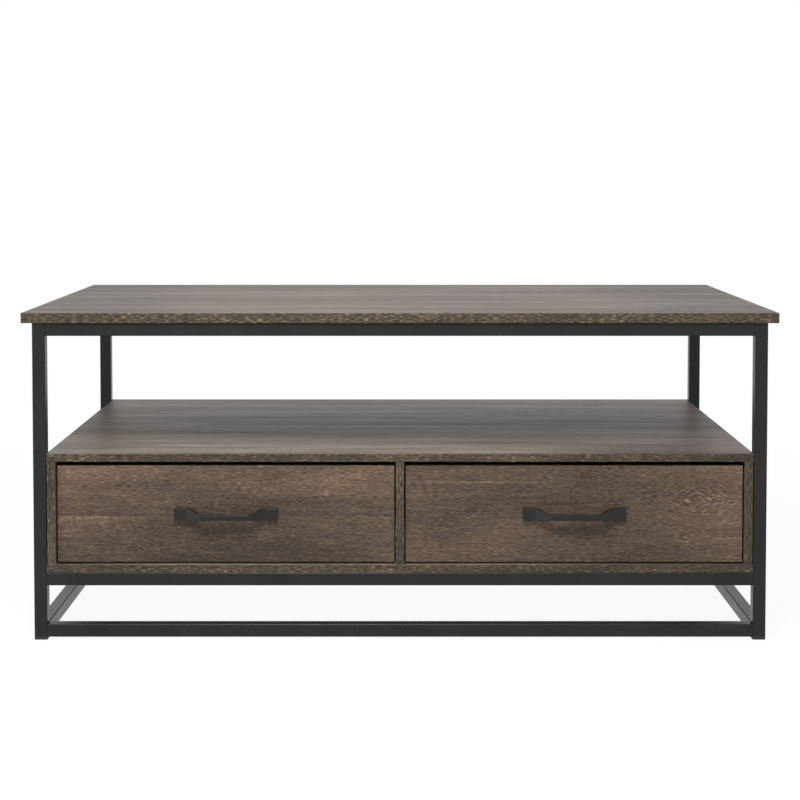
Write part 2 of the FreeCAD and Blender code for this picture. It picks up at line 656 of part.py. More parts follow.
# Roller runners. A runner's own X starts at the cabinet's face and its Z at the channel's underside.
# Channels are as long as the drawer box, slides a little shorter, and a drawer opens until only the
# drawer hold is left inside.
WEB_X = f"(dims.runner_space - {SHEET})"
TRACK_Z = f"({AXLE_Z} + dims.roller_diameter / 2 + dims.roller_gap)"
ROLLER_FAR_X = "(dims.roller_inset + dims.roller_width)"
SLIDE_Y = f"({BOX_Y} + dims.slide_setback)"
SLIDE_LENGTH = "(dims.box_length - dims.slide_short)"
SLIDE_AXLE_Y = f"({SLIDE_LENGTH} - dims.slide_axle_setback)"
SLIDE_SCREWS = ["dims.slide_screw_inset", f"({SLIDE_LENGTH} - dims.slide_screw_inset)"]
DRAWER_TRAVEL = "(dims.box_length - dims.drawer_hold)"
CHANNEL_PROFILE = [
    ("0", "0"),
    ("dims.channel_depth", "0"),
    ("dims.channel_depth", "dims.channel_lip"),
    (f"dims.channel_depth - {SHEET}", "dims.channel_lip"),
    (f"dims.channel_depth - {SHEET}", SHEET),
    (SHEET, SHEET),
    (SHEET, f"dims.channel_height - {SHEET}"),
    ("dims.channel_cap", f"dims.channel_height - {SHEET}"),
    ("dims.channel_cap", "dims.channel_height"),
    ("0", "dims.channel_height"),
]
SLIDE_PROFILE = [
    (WEB_X, f"-{SHEET}"),
    ("dims.runner_space + dims.slide_foot", f"-{SHEET}"),
    ("dims.runner_space + dims.slide_foot", "0"),
    ("dims.runner_space", "0"),
    ("dims.runner_space", f"{TRACK_Z} + {SHEET}"),
    ("dims.slide_tip_gap", f"{TRACK_Z} + {SHEET}"),
    ("dims.slide_tip_gap", TRACK_Z),
    (WEB_X, TRACK_Z),
]
runner_screw = fastener(
    "runner_screw",
    "dims.runner_screw_diameter",
    f"({SHEET} + dims.runner_screw_bite)",
    "dims.runner_screw_head_diameter",
    "dims.runner_screw_head_height",
    tip="dims.runner_screw_diameter",
)


def rivet(runner, web, y, roller_face, recess_floor, toward):
    """A stepped rivet on a runner's web: a spacer up to the roller, its axle, and a head in the recess."""
    spacer = f"{toward} * ({roller_face} - {web}) - dims.rivet_gap"
    axle = f"{toward} * ({recess_floor} - {roller_face}) + 2 * dims.rivet_gap"
    axle_start = f"{roller_face} - {toward} * dims.rivet_gap"
    head_start = f"{recess_floor} + {toward} * dims.rivet_gap"
    pad(runner, "YZ_Plane", web, [(y, AXLE_Z, "dims.rivet_diameter")], spacer, toward)
    pad(runner, "YZ_Plane", axle_start, [(y, AXLE_Z, "dims.axle_diameter")], axle, toward)
    pad(runner, "YZ_Plane", head_start, [(y, AXLE_Z, "dims.rivet_diameter")], "dims.rivet_head", toward)


def channel(label, bay_x, screws):
    """The cabinet's half of a left runner, with stops where the drawer's roller ends its travel."""
    runner = new_body(label)
    pad(runner, "XZ_Plane", "0", [CHANNEL_PROFILE], CHANNEL_LENGTH)
    shut = f"({SLIDE_Y} - {CHANNEL_Y} + {SLIDE_AXLE_Y} + dims.roller_diameter / 2 + dims.stop_gap)"
    opened = f"({shut} - {DRAWER_TRAVEL} - dims.roller_diameter - 2 * dims.stop_gap)"
    low = f"({AXLE_Z} - dims.stop_height / 2)"
    high = f"({AXLE_Z} + dims.stop_height / 2)"
    stops = [
        rectangle(shut, low, f"{shut} + dims.stop_length", high),
        rectangle(f"{opened} - dims.stop_length", low, opened, high),
    ]
    pad(runner, "YZ_Plane", SHEET, stops, "dims.stop_reach")
    recess_floor = f"({ROLLER_FAR_X} - dims.roller_recess_depth)"
    rivet(runner, SHEET, "dims.channel_axle_setback", "dims.roller_inset", recess_floor, 1)
    pocket(runner, "YZ_Plane", "0", [(y, AXLE_Z, RUNNER_CLEARANCE) for y in screws], SHEET)
    place(runner, f"{bay_x} - {OPENING_WIDTH} / 2", CHANNEL_Y, BOX_Z)
    return runner


def slide(label, bay_x):
    """The drawer's half of a left runner: a track over the cabinet's roller and a foot under the side."""
    runner = new_body(label)
    pad(runner, "XZ_Plane", "0", [SLIDE_PROFILE], SLIDE_LENGTH)
    recess_floor = "(dims.roller_inset + dims.roller_recess_depth)"
    rivet(runner, WEB_X, SLIDE_AXLE_Y, ROLLER_FAR_X, recess_floor, -1)
    holes = [("dims.runner_space + dims.slide_foot / 2", y, RUNNER_CLEARANCE) for y in SLIDE_SCREWS]
    pocket(runner, "XY_Plane", f"-{SHEET}", holes, SHEET)
    place(runner, f"{bay_x} - {OPENING_WIDTH} / 2", SLIDE_Y, BOX_Z)
    return runner


def rollers(label, bay_x, axle_y, recess_far):
    """A pair of plastic rollers, each recessed on one face for its rivet's head."""
    wheel = new_body(f"{label}_left")
    bore = "(dims.axle_diameter + dims.axle_gap) / 2"
    rim = "dims.roller_diameter / 2"
    recess = "dims.roller_recess_diameter / 2"
    plain, recessed = ("0", "dims.roller_width") if recess_far else ("dims.roller_width", "0")
    floor = f"{recessed} + {-1 if recess_far else 1} * dims.roller_recess_depth"
    outside = [(plain, bore), (plain, rim), (recessed, rim)]
    turn(wheel, "X", outside + [(recessed, recess), (floor, recess), (floor, bore)])
    place(wheel, f"{bay_x} - {OPENING_WIDTH} / 2 + dims.roller_inset", axle_y, RUNNER_SCREW_Z)
    return together(label, [wheel, mirrored(wheel, bay_x)])


# The handle: a flat bar on two sloping arms, cast in one piece with square feet whose heels run on
# behind the arms. The plan is padded to the feet's height, and the front view then cuts the arms' taper
# and the slimmer bar, which sits low between the feet, out of it.
FOOT_X = "(dims.handle_length / 2 - dims.handle_foot)"
BAR_X = f"({FOOT_X} - dims.handle_arm_run)"
FOOT_FRONT = "dims.handle_foot_thickness"
BAR_FRONT = "dims.handle_projection"
BAR_BACK = f"({BAR_FRONT} - dims.handle_bar_depth)"
ARM_SLOPE = f"(dims.handle_arm_run / ({BAR_FRONT} - {FOOT_FRONT}))"
BAR_BACK_X = f"({FOOT_X} - {BAR_BACK} * {ARM_SLOPE})"
HEEL_X = f"({FOOT_X} - dims.handle_heel)"
FOOT_HALF = "(dims.handle_foot / 2)"
BAR_UNDER = f"(dims.handle_bar_rise - {FOOT_HALF})"
BAR_OVER = f"({BAR_UNDER} + dims.handle_bar_height)"
HANDLE_Z = f"({FRONT_Z} + {FRONT_HEIGHT} / 2)"
HANDLE_HOLES_X = [f"({sign} * dims.handle_hole_spacing / 2)" for sign in (-1, 1)]


def handle(label, bay_x):
    """A handle on the middle of a drawer front, with a tapped hole in each foot."""
    bar = new_body(label)
    front_half = [
        ("dims.handle_length / 2", "0"),
        ("dims.handle_length / 2", FOOT_FRONT),
        (FOOT_X, FOOT_FRONT),
        (BAR_X, BAR_FRONT),
    ]
    back_half = [(BAR_BACK_X, BAR_BACK), (HEEL_X, "0")]
    front_line = front_half + [(f"-{x}", y) for x, y in reversed(front_half)]
    back_line = [(f"-{x}", y) for x, y in reversed(back_half)] + back_half
    plan = [(x, f"-{y}") for x, y in front_line + back_line]
    pad(bar, "XY_Plane", f"-{FOOT_HALF}", [plan], "dims.handle_foot")
    for bar_edge, side in ((BAR_OVER, 1), (BAR_UNDER, -1)):
        foot_edge = f"{side} * {FOOT_HALF}"
        past = f"{side} * ({FOOT_HALF} + dims.overrun)"
        half = [(BAR_X, bar_edge), (FOOT_X, foot_edge), (FOOT_X, past)]
        taper = half + [(f"-{x}", z) for x, z in reversed(half)]
        pocket(bar, "XZ_Plane", "0", [taper], None, toward=-1)
    round_edges(bar, "dims.handle_round", lambda edge: edge.BoundBox.YMin < -number("dims.handle_round"))
    tapped = "dims.handle_screw_diameter + dims.thread_gap"
    holes = [(x, "0", tapped) for x in HANDLE_HOLES_X]
    pocket(bar, "XZ_Plane", "0", holes, "dims.handle_hole_depth", toward=-1)
    place(bar, bay_x, FRONT_Y, HANDLE_Z)
    return node(bar, label)


# A drawer: an inset front with a handle, a box of boards round a thin bottom, and its two slides. Cam
# fittings draw the front to the sides, and screws hold the back between them.
PANEL_WIDTH = f"({BOX_INSIDE} + 2 * {GROOVE_FIT})"
PANEL_LENGTH = f"(dims.box_length - dims.box_board + 2 * {GROOVE_FIT})"
PANEL_GROOVE_LOW = "(dims.bottom_lift - dims.groove_gap)"
PANEL_GROOVE_HIGH = "(dims.bottom_lift + dims.bottom_thickness + dims.groove_gap)"
SIDE_BOARD_X = "(dims.box_board / 2)"
FIXINGS_Z = ["dims.box_fixing_low", "dims.box_fixing_high"]
BACK_SCREW_Y = "(dims.box_length - dims.box_board / 2)"
box_nut = cam_nut("box_cam_nut", "dims.box_board")
box_screw = wood_screw("box_screw", "(dims.box_board + dims.edge_screw_bite)")
handle_screw = fastener(
    "handle_screw",
    "dims.handle_screw_diameter",
    "(dims.front_thickness + dims.handle_screw_bite)",
    "dims.handle_screw_head_diameter",
    "dims.handle_screw_head_height",
)


def drawer_front(label, bay_x):
    """The front: grooved behind for the bottom, drilled for the handle and the cam bolts."""
    front = slab(label, FRONT_WIDTH, "dims.front_thickness", FRONT_HEIGHT)
    round_edges(front, "dims.board_arris", lambda edge: edge.BoundBox.YMax < number("dims.front_thickness"))
    middle = f"{FRONT_WIDTH} / 2"
    half_groove = f"({PANEL_WIDTH} / 2 + dims.groove_gap)"
    low = f"dims.box_lift + {PANEL_GROOVE_LOW}"
    high = f"dims.box_lift + {PANEL_GROOVE_HIGH}"
    groove = rectangle(f"{middle} - {half_groove}", low, f"{middle} + {half_groove}", high)
    pocket(front, "XZ_Plane", "dims.front_thickness", [groove], "dims.groove_depth", toward=-1)
    clearance = "dims.handle_screw_diameter + dims.bolt_gap"
    screws = [(f"{middle} + {x}", f"{FRONT_HEIGHT} / 2", clearance) for x in HANDLE_HOLES_X]
    pocket(front, "XZ_Plane", "0", screws, None)
    pilots = [
        (f"{middle} + {sign} * ({BOX_WIDTH} / 2 - {SIDE_BOARD_X})", f"dims.box_lift + {z}", CAM_PILOT)
        for sign in (-1, 1)
        for z in FIXINGS_Z
    ]
    pocket(front, "XZ_Plane", "dims.front_thickness", pilots, CAM_PILOT_DEPTH, toward=-1)
    place(front, f"{bay_x} - {middle}", FRONT_Y, FRONT_Z)
    return node(front, label)


def drawer_side(label, bay_x):
    """The left side: grooved for the bottom, with holes for the cam fittings, back and slide screws."""
    side = slab(label, "dims.box_board", "dims.box_length", "dims.box_height")
    groove = rectangle("0", PANEL_GROOVE_LOW, "dims.box_length", PANEL_GROOVE_HIGH)
    pocket(side, "YZ_Plane", "dims.box_board", [groove], "dims.groove_depth", toward=-1)
    cams = [("dims.cam_setback", z, CAM_HOLE) for z in FIXINGS_Z]
    pocket(side, "YZ_Plane", "dims.box_board", cams, CAM_HOLE_DEPTH, toward=-1)
    bolts = [(SIDE_BOARD_X, z, CAM_BOLT_HOLE) for z in FIXINGS_Z]
    pocket(side, "XZ_Plane", "0", bolts, "dims.cam_setback")
    pocket(side, "YZ_Plane", "0", [(BACK_SCREW_Y, z, SCREW_CLEARANCE) for z in FIXINGS_Z], None)
    slide_pilots = [("dims.slide_foot / 2", f"dims.slide_setback + {y}", RUNNER_PILOT) for y in SLIDE_SCREWS]
    pocket(side, "XY_Plane", "0", slide_pilots, RUNNER_PILOT_DEPTH)
    place(side, f"{bay_x} - {BOX_WIDTH} / 2", BOX_Y, BOX_Z)
    return node(side, label)


def drawer_back(label, bay_x):
    """The back: between the sides, grooved for the bottom, with pilot holes in both ends."""
    board = slab(label, BOX_INSIDE, "dims.box_board", "dims.box_height")
    groove = rectangle("0", PANEL_GROOVE_LOW, BOX_INSIDE, PANEL_GROOVE_HIGH)
    pocket(board, "XZ_Plane", "0", [groove], "dims.groove_depth")
    pilots = [("dims.box_board / 2", z, SCREW_PILOT) for z in FIXINGS_Z]
    pocket(board, "YZ_Plane", "0", pilots, EDGE_PILOT_DEPTH)
    pocket(board, "YZ_Plane", BOX_INSIDE, pilots, EDGE_PILOT_DEPTH, toward=-1)
    place(board, f"{bay_x} - {BOX_INSIDE} / 2", f"{BOX_Y} + dims.box_length - dims.box_board", BOX_Z)
    return node(board, label)


def drawer(name, bay_x):
    """Every piece of one drawer, centred on its bay."""
    drawer_front(f"{name}_front", bay_x)
    left = drawer_side(f"{name}_side_left", bay_x)
    node(mirrored(left, bay_x), f"{name}_side_right")
    drawer_back(f"{name}_back", bay_x)
    panel = slab(f"{name}_bottom", PANEL_WIDTH, PANEL_LENGTH, "dims.bottom_thickness")
    place(panel, f"{bay_x} - {PANEL_WIDTH} / 2", f"{BOX_Y} - {GROOVE_FIT}", f"{BOX_Z} + dims.bottom_lift")
    node(panel, f"{name}_bottom")

    handle(f"{name}_handle", bay_x)
    places = [(f"{bay_x} + {x}", BOX_Y, HANDLE_Z, FORWARD) for x in HANDLE_HOLES_X]
    together(f"{name}_handle_screws", copies(handle_screw, places))

    bolts, nuts, back_screws, slide_screws = [], [], [], []
    for sign, outward, inward in ((-1, -ALONG_X, RIGHT), (1, ALONG_X, LEFT)):
        inner_x = f"({bay_x} + {sign} * {BOX_INSIDE} / 2)"
        outer_x = f"({bay_x} + {sign} * {BOX_WIDTH} / 2)"
        middle_x = f"({outer_x} - {sign} * {SIDE_BOARD_X})"
        facing_front = FreeCAD.Rotation(-ALONG_Y, FreeCAD.Vector(), outward, "ZXY")
        for z in (f"{BOX_Z} + {z}" for z in FIXINGS_Z):
            bolts.append((middle_x, BOX_Y, z, FORWARD))
            nuts.append((inner_x, f"{BOX_Y} + dims.cam_setback", z, facing_front))
            back_screws.append((outer_x, f"{BOX_Y} + {BACK_SCREW_Y}", z, inward))
        for y in (f"{SLIDE_Y} + {y}" for y in SLIDE_SCREWS):
            slide_screws.append((f"{outer_x} - {sign} * dims.slide_foot / 2", y, f"{BOX_Z} - {SHEET}", UP))
    together(f"{name}_cam_fittings", copies(cam_bolt, bolts) + copies(box_nut, nuts))
    together(f"{name}_back_screws", copies(box_screw, back_screws))

    left_slide = node(slide(f"{name}_slide_left", bay_x), f"{name}_slide_left")
    node(mirrored(left_slide, bay_x), f"{name}_slide_right")
    together(f"{name}_slide_screws", copies(runner_screw, slide_screws))
    rollers(f"{name}_rollers", bay_x, f"{SLIDE_Y} + {SLIDE_AXLE_Y}", False)


def bay(name, bay_x):
    """The cabinet's channels and rollers for one drawer, and the places of the channels' screws."""
    left = channel(f"{name}_channel_left", bay_x, LEFT_CHANNEL_SCREWS)
    node(left, f"{name}_channel_left")
    right = channel(f"{name}_channel_unmirrored", bay_x, RIGHT_CHANNEL_SCREWS)
    node(mirrored(right, bay_x), f"{name}_channel_right")
    rollers(f"{name}_rollers", bay_x, f"{CHANNEL_Y} + dims.channel_axle_setback", True)
    web = f"({OPENING_WIDTH} / 2 - {SHEET})"
    hands = ((-1, LEFT, LEFT_CHANNEL_SCREWS), (1, RIGHT, RIGHT_CHANNEL_SCREWS))
    return [
        (f"{bay_x} + {sign} * {web}", f"{CHANNEL_Y} + {y}", RUNNER_SCREW_Z, driven)
        for sign, driven, screws in hands
        for y in screws
    ]


channel_screws = []
for side_name, bay_middle in (("left", f"(-{BAY_X})"), ("right", BAY_X)):
    channel_screws += bay(f"{side_name}_bay", bay_middle)
    drawer(f"{side_name}_drawer", bay_middle)
together("channel_screws", copies(runner_screw, channel_screws))

# Every object has to be sound before anything is written.
doc.recompute()
for item in doc.Objects:
    if {"Invalid", "Error"} & set(item.State):
        raise RuntimeError(f"{item.Label} did not compute: {item.State}")
for piece in nodes:
    if piece.Shape.isNull() or not piece.Shape.isValid():
        raise RuntimeError(f"{piece.Label} has no sound shape")
os.makedirs("parts", exist_ok=True)
for piece in nodes:
    piece.Shape.exportStep(f"parts/{piece.Label}.step")
print(len(nodes), "sub-parts written")
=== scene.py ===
import math

import bpy
import numpy as np
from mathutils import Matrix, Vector


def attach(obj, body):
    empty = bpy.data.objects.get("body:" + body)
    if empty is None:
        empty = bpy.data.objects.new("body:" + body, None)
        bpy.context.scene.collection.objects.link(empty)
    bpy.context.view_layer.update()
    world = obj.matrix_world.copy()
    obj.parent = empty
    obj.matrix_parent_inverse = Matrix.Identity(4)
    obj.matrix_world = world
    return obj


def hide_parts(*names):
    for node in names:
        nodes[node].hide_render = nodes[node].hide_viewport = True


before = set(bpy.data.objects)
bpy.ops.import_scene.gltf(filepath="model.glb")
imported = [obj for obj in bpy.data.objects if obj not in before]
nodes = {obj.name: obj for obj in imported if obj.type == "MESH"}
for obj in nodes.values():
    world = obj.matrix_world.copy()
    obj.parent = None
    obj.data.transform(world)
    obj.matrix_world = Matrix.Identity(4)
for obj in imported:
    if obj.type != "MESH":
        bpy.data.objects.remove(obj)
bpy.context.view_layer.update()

# Side frames and long rails. Square steel tube, 19 mm, cut square, welded into two side frames that
# the long rails bolt between, and powder coated after welding: a thin baked skin with a satin sheen.


def linear(colour):
    """sRGB hex to linear RGBA: a channel c becomes ((c + 0.055) / 1.055) ** 2.4, or c / 12.92 if dark."""
    srgb = np.array([int(colour[i : i + 2], 16) for i in (1, 3, 5)]) / 255
    return (*np.where(srgb > 0.04045, ((srgb + 0.055) / 1.055) ** 2.4, srgb / 12.92).tolist(), 1.0)


def add(tree, kind, inputs=None, stops=None, **settings):
    """One node with its settings, its ramp's (place, colour) stops, and its inputs.

    An input is a value, a socket to link from, or a node, which links from its first output.
    """
    node = tree.nodes.new(kind)
    for name, value in settings.items():
        setattr(node, name, value)
    for i, (place, colour) in enumerate(stops or []):
        ramp = node.color_ramp.elements
        stop = ramp[i] if i < 2 else ramp.new(place)
        stop.position, stop.color = place, linear(colour)
    for name, value in (inputs or {}).items():
        source = value.outputs[0] if isinstance(value, bpy.types.Node) else value
        if isinstance(source, bpy.types.NodeSocket):
            tree.links.new(source, node.inputs[name])
        else:
            node.inputs[name].default_value = source
    return node


def material_named(name):
    """A new empty material, its node tree, and the Object coordinates that its pattern is drawn in."""
    material = bpy.data.materials.new(name)
    material.use_nodes = True
    tree = material.node_tree
    tree.nodes.clear()
    return material, tree, add(tree, "ShaderNodeTexCoord").outputs["Object"]


def dress(material, *names):
    """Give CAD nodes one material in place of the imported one."""
    for name in names:
        mesh = nodes[name].data
        mesh.materials.clear()
        mesh.materials.append(material)


# Polyester powder coat, semi-matt charcoal black. The skin flows into a faint orange peel about 1.5 mm
# across, and its sheen varies a little where the spray was thicker.
powder_coat, tree, spot = material_named("powder_coated_steel")
peel = add(tree, "ShaderNodeTexNoise", {"Vector": spot, "Scale": 1 / 0.0015, "Detail": 2.0})
spray = add(tree, "ShaderNodeTexNoise", {"Vector": spot, "Scale": 1 / 0.060, "Detail": 3.0})
tone = add(tree, "ShaderNodeValToRGB", {"Fac": spray}, stops=[(0.3, "#0b0b0b"), (0.7, "#131313")])
sheen = add(tree, "ShaderNodeMapRange", {"Value": spray, "To Min": 0.31, "To Max": 0.42})
skin = add(tree, "ShaderNodeBump", {"Height": peel, "Strength": 0.12, "Distance": 0.0002})
coat = {"Base Color": tone, "Roughness": sheen, "Normal": skin, "IOR": 1.5, "Specular IOR Level": 0.33}
surface = add(tree, "ShaderNodeBsdfPrincipled", coat)
add(tree, "ShaderNodeOutputMaterial", {"Surface": surface})
LEVELS = ("top", "cabinet", "base")
ENDS = ("front", "rear")
SIDES = ("left", "right")
dress(
    powder_coat,
    *(f"leg_{end}_{side}" for end in ENDS for side in SIDES),
    *(f"{level}_rail_{end}" for level in LEVELS for end in ENDS),
    *(f"{level}_side_rails" for level in LEVELS),
)

# Weld beads. Each side rail is welded to its two legs across its top and its underside, where the bead
# stays under the coat; on the flush outer and inner faces the weld is ground away.
TUBE = 0.019
LEG_X = (-0.5255, 0.5255)
LEG_FACE_Y = 0.276
# Where a rail's underside (-1) or top (1) meets a leg; the top rail's own top lies under the board.
BEAD_LEVELS = ((0.446, -1), (0.086, -1), (0.105, 1), (0.004, -1), (0.023, 1))
BEAD, RIPPLE, BEAD_TAPER = 0.0021, 0.0022, 0.0015
BEAD_LOW, RIPPLE_LEAN = 0.84, 0.5
BEAD_ROWS, BEAD_COLUMNS = 47, 9


def new_piece(name, points, faces, material, body):
    """A smooth mesh object from an array of points and a list of arrays of faces, riding on a body."""
    mesh = bpy.data.meshes.new(name)
    mesh.from_pydata(points.tolist(), [], sum((group.tolist() for group in faces), []))
    mesh.update()
    mesh.polygons.foreach_set("use_smooth", np.ones(len(mesh.polygons), dtype=bool))
    mesh.materials.append(material)
    piece = bpy.data.objects.new(name, mesh)
    bpy.context.scene.collection.objects.link(piece)
    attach(piece, body)
    return piece


def closed_faces(rows, columns):
    """Faces of a tube of points: quads between neighbouring rows, and a fan round a pole at each end.

    The points are the rows, each of which runs round the tube, then the first pole and the last pole.
    """
    i, j = np.meshgrid(np.arange(rows - 1), np.arange(columns), indexing="ij")
    k = (j + 1) % columns
    corners = [i * columns + j, i * columns + k, (i + 1) * columns + k, (i + 1) * columns + j]
    ring = np.arange(columns)
    following = np.roll(ring, -1)
    pole = np.full(columns, rows * columns)
    last_row = (rows - 1) * columns
    first_fan = np.stack([pole, following, ring], -1)
    last_fan = np.stack([pole + 1, last_row + ring, last_row + following], -1)
    return [np.stack(corners, -1).reshape(-1, 4), first_fan, last_fan]


def weld_bead(centre, out_y, out_z):
    """A convex fillet along X: a quarter round of radius r = bead (low + (1 - low) |sin(pi x / ripple)|).

    At the angle a the surface lies at (x, y + out_y r cos a, z + out_z r sin a), tapered to a point at both
    ends, and it closes along the joint behind it. The sine's phase leans by lean sin(2 a), as a puddle does
    that sets while it is drawn along.
    """
    x = np.linspace(-TUBE / 2, TUBE / 2, BEAD_ROWS + 2)[1:-1, None]
    angle = np.linspace(0, math.pi / 2, BEAD_COLUMNS)[None, :]
    taper = np.clip((TUBE / 2 - np.abs(x)) / BEAD_TAPER, 0.0, 1.0) ** 0.5
    ripple = np.abs(np.sin(math.pi * x / RIPPLE + RIPPLE_LEAN * np.sin(2 * angle)))
    radius = BEAD * taper * (BEAD_LOW + (1 - BEAD_LOW) * ripple)
    bead = np.stack([x + 0 * angle, out_y * radius * np.cos(angle), out_z * radius * np.sin(angle)], -1)
    joint = np.stack([x, 0 * x, 0 * x], -1)
    poles = [(-TUBE / 2, 0, 0), (TUBE / 2, 0, 0)]
    return np.concatenate([np.concatenate([bead, joint], 1).reshape(-1, 3), poles]) + np.array(centre)


bead_points, bead_faces, count = [], [], 0
for x in LEG_X:
    for end in (-1, 1):
        for z, up in BEAD_LEVELS:
            points = weld_bead((x, end * LEG_FACE_Y, z), -end, up)
            faces = closed_faces(BEAD_ROWS, BEAD_COLUMNS + 1)
            bead_points.append(points)
            # On two of the four sides the points run round the bead the other way.
            bead_faces += [(group if end * up < 0 else group[:, ::-1]) + count for group in faces]
            count += len(points)
new_piece("weld_beads", np.concatenate(bead_points), bead_faces, powder_coat, "table")

# Glides. A moulded black polyethylene foot is pressed into the open lower end of each leg, and its flange
# carries the table. The plastic is waxy and finely sparked all over, with a dull, even gloss.
polyethylene, tree, spot = material_named("polyethylene")
spark = add(tree, "ShaderNodeTexNoise", {"Vector": spot, "Scale": 1 / 0.0008, "Detail": 3.0})
tone = add(tree, "ShaderNodeValToRGB", {"Fac": spark}, stops=[(0.35, "#171717"), (0.65, "#232322")])
wax = add(tree, "ShaderNodeMapRange", {"Value": spark, "To Min": 0.5, "To Max": 0.62})
grit = add(tree, "ShaderNodeBump", {"Height": spark, "Strength": 0.25, "Distance": 0.0001})
plastic = {"Base Color": tone, "Roughness": wax, "Normal": grit, "IOR": 1.51, "Specular IOR Level": 0.4}
surface = add(tree, "ShaderNodeBsdfPrincipled", plastic)
add(tree, "ShaderNodeOutputMaterial", {"Surface": surface})
dress(polyethylene, "foot_glides")

# Rail bolts. M6 socket heads of black oxide steel that draw the long rails to the legs, seen only through
# the holes in the legs' outer walls. The oxide is oily and unevenly stained.
black_oxide, tree, spot = material_named("black_oxide_steel")
oil = add(tree, "ShaderNodeTexNoise", {"Vector": spot, "Scale": 1 / 0.003, "Detail": 4.0})
tone = add(tree, "ShaderNodeValToRGB", {"Fac": oil}, stops=[(0.3, "#2b2b2d"), (0.7, "#46464a")])
stain = add(tree, "ShaderNodeMapRange", {"Value": oil, "To Min": 0.35, "To Max": 0.55})
surface = add(tree, "ShaderNodeBsdfPrincipled", {"Base Color": tone, "Roughness": stain, "Metallic": 1.0})
add(tree, "ShaderNodeOutputMaterial", {"Surface": surface})
dress(black_oxide, "rail_bolts")

# Cabinet boards. Particle board faced with a printed oak paper under clear melamine, 12 mm, joined with
# cam fittings and screws. The print is a weathered grey brown; the edge bands carry a coarser, flecked one.
# Oak fibres are a third of a millimetre wide; they are drawn two to four times as wide so that they show.
BAND_LAYERS = [(1.0, 9.0, 1.0, 0.3, -0.04, 0.88), (16, 90, 1.0, 0.0, -0.15, 0.03)]
FLECKED_BAND = [(0.08, "#140e07"), (0.42, "#392f21"), (0.62, "#544733"), (0.8, "#6f6049"), (1.0, "#96856a")]
CALM_LAYERS = [
    (42, 520, 2.0, 0.2, 0.30, 0.62),
    (9, 260, 2.0, 0.3, -0.12, 0.12),
    (3.0, 70, 2.0, 0.3, -0.10, 0.10),
    (1.2, 14, 1.0, 0.2, -0.14, 0.14),
]
GREY_OAK = [(0.0, "#2c251e"), (0.36, "#51463c"), (0.62, "#6a5d51"), (1.0, "#9a8c7d")]
GLOSS_SWING = 0.07
# Painted light on the shelf: a lit strip along the front edge, where along Y it comes in, and in it a
# painted
# pool of light: its middle in X, how far from there it is pale and then shaded, and its tone.
LIT_STRIP_START, LIT_STRIP_FULL = -0.12, -0.27
LIGHT_POOL_MIDDLE, LIGHT_POOL_BRIGHT, LIGHT_POOL_SHADED, LIGHT_POOL_TONE = -0.08, 0.22, 0.50, 0.22


def grain_tone(tree, spot, along, layers):
    """The sum of noise layers stretched along the grain, the axis 0 for X, 1 for Y or 2 for Z.

    A layer is (across mm, along mm, detail, twist, low, high): its noise from 0.3 to 0.7 adds low to high.
    """
    total = 0.0
    for across, length, detail, twist, low, high in layers:
        spread = [1000 / across] * 3
        spread[along] = 1000 / length
        lie = add(tree, "ShaderNodeMapping", {"Vector": spot, "Scale": spread})
        cells = {"Vector": lie, "Scale": 1.0, "Detail": detail, "Roughness": 0.62, "Distortion": twist}
        grain = add(tree, "ShaderNodeTexNoise", cells)
        reach = {"Value": grain, "From Min": 0.3, "From Max": 0.7, "To Min": low, "To Max": high}
        weight = add(tree, "ShaderNodeMapRange", reach, clamp=False)
        total = add(tree, "ShaderNodeMath", {0: total, 1: weight})
    return total


def oak_print(name, along, facing, tones, layers, roughness, figure=None):
    """Melamine over an oak print, its layers coloured by the ramp of tones and pressed in as pores.

    The board's broad faces look along the facing axis, and its other sides are bands. A figure gives the
    place where the grain is read and a tone to add to it.
    """
    material, tree, spot = material_named(name)
    spot, extra = figure(tree, spot) if figure else (spot, 0.0)
    fibre = grain_tone(tree, spot, along, layers)
    fleck = grain_tone(tree, spot, along, BAND_LAYERS)
    shade = add(tree, "ShaderNodeMath", {0: fibre, 1: extra})
    face = add(tree, "ShaderNodeValToRGB", {"Fac": shade}, stops=tones)
    band = add(tree, "ShaderNodeValToRGB", {"Fac": fleck}, stops=FLECKED_BAND)
    geometry = add(tree, "ShaderNodeNewGeometry")
    side = add(tree, "ShaderNodeSeparateXYZ", {"Vector": geometry.outputs["True Normal"]})
    square = add(tree, "ShaderNodeMath", {0: side.outputs[facing]}, operation="ABSOLUTE")
    turned = {"Value": square, "From Min": 0.55, "From Max": 0.85, "To Min": 1.0, "To Max": 0.0}
    on_band = add(tree, "ShaderNodeMapRange", turned)
    colour = add(tree, "ShaderNodeMix", {0: on_band, 6: face, 7: band}, data_type="RGBA").outputs[2]
    dark, pale = roughness + GLOSS_SWING, roughness - GLOSS_SWING
    gloss = {"Value": fibre, "From Min": 0.2, "From Max": 0.8, "To Min": dark, "To Max": pale}
    dull = add(tree, "ShaderNodeMapRange", gloss)
    press = add(tree, "ShaderNodeBump", {"Height": fibre, "Strength": 0.3, "Distance": 0.0003})
    paper = {"Base Color": colour, "Roughness": dull, "Normal": press, "IOR": 1.5, "Specular IOR Level": 0.4}
    surface = add(tree, "ShaderNodeBsdfPrincipled", paper)
    add(tree, "ShaderNodeOutputMaterial", {"Surface": surface})
    return material


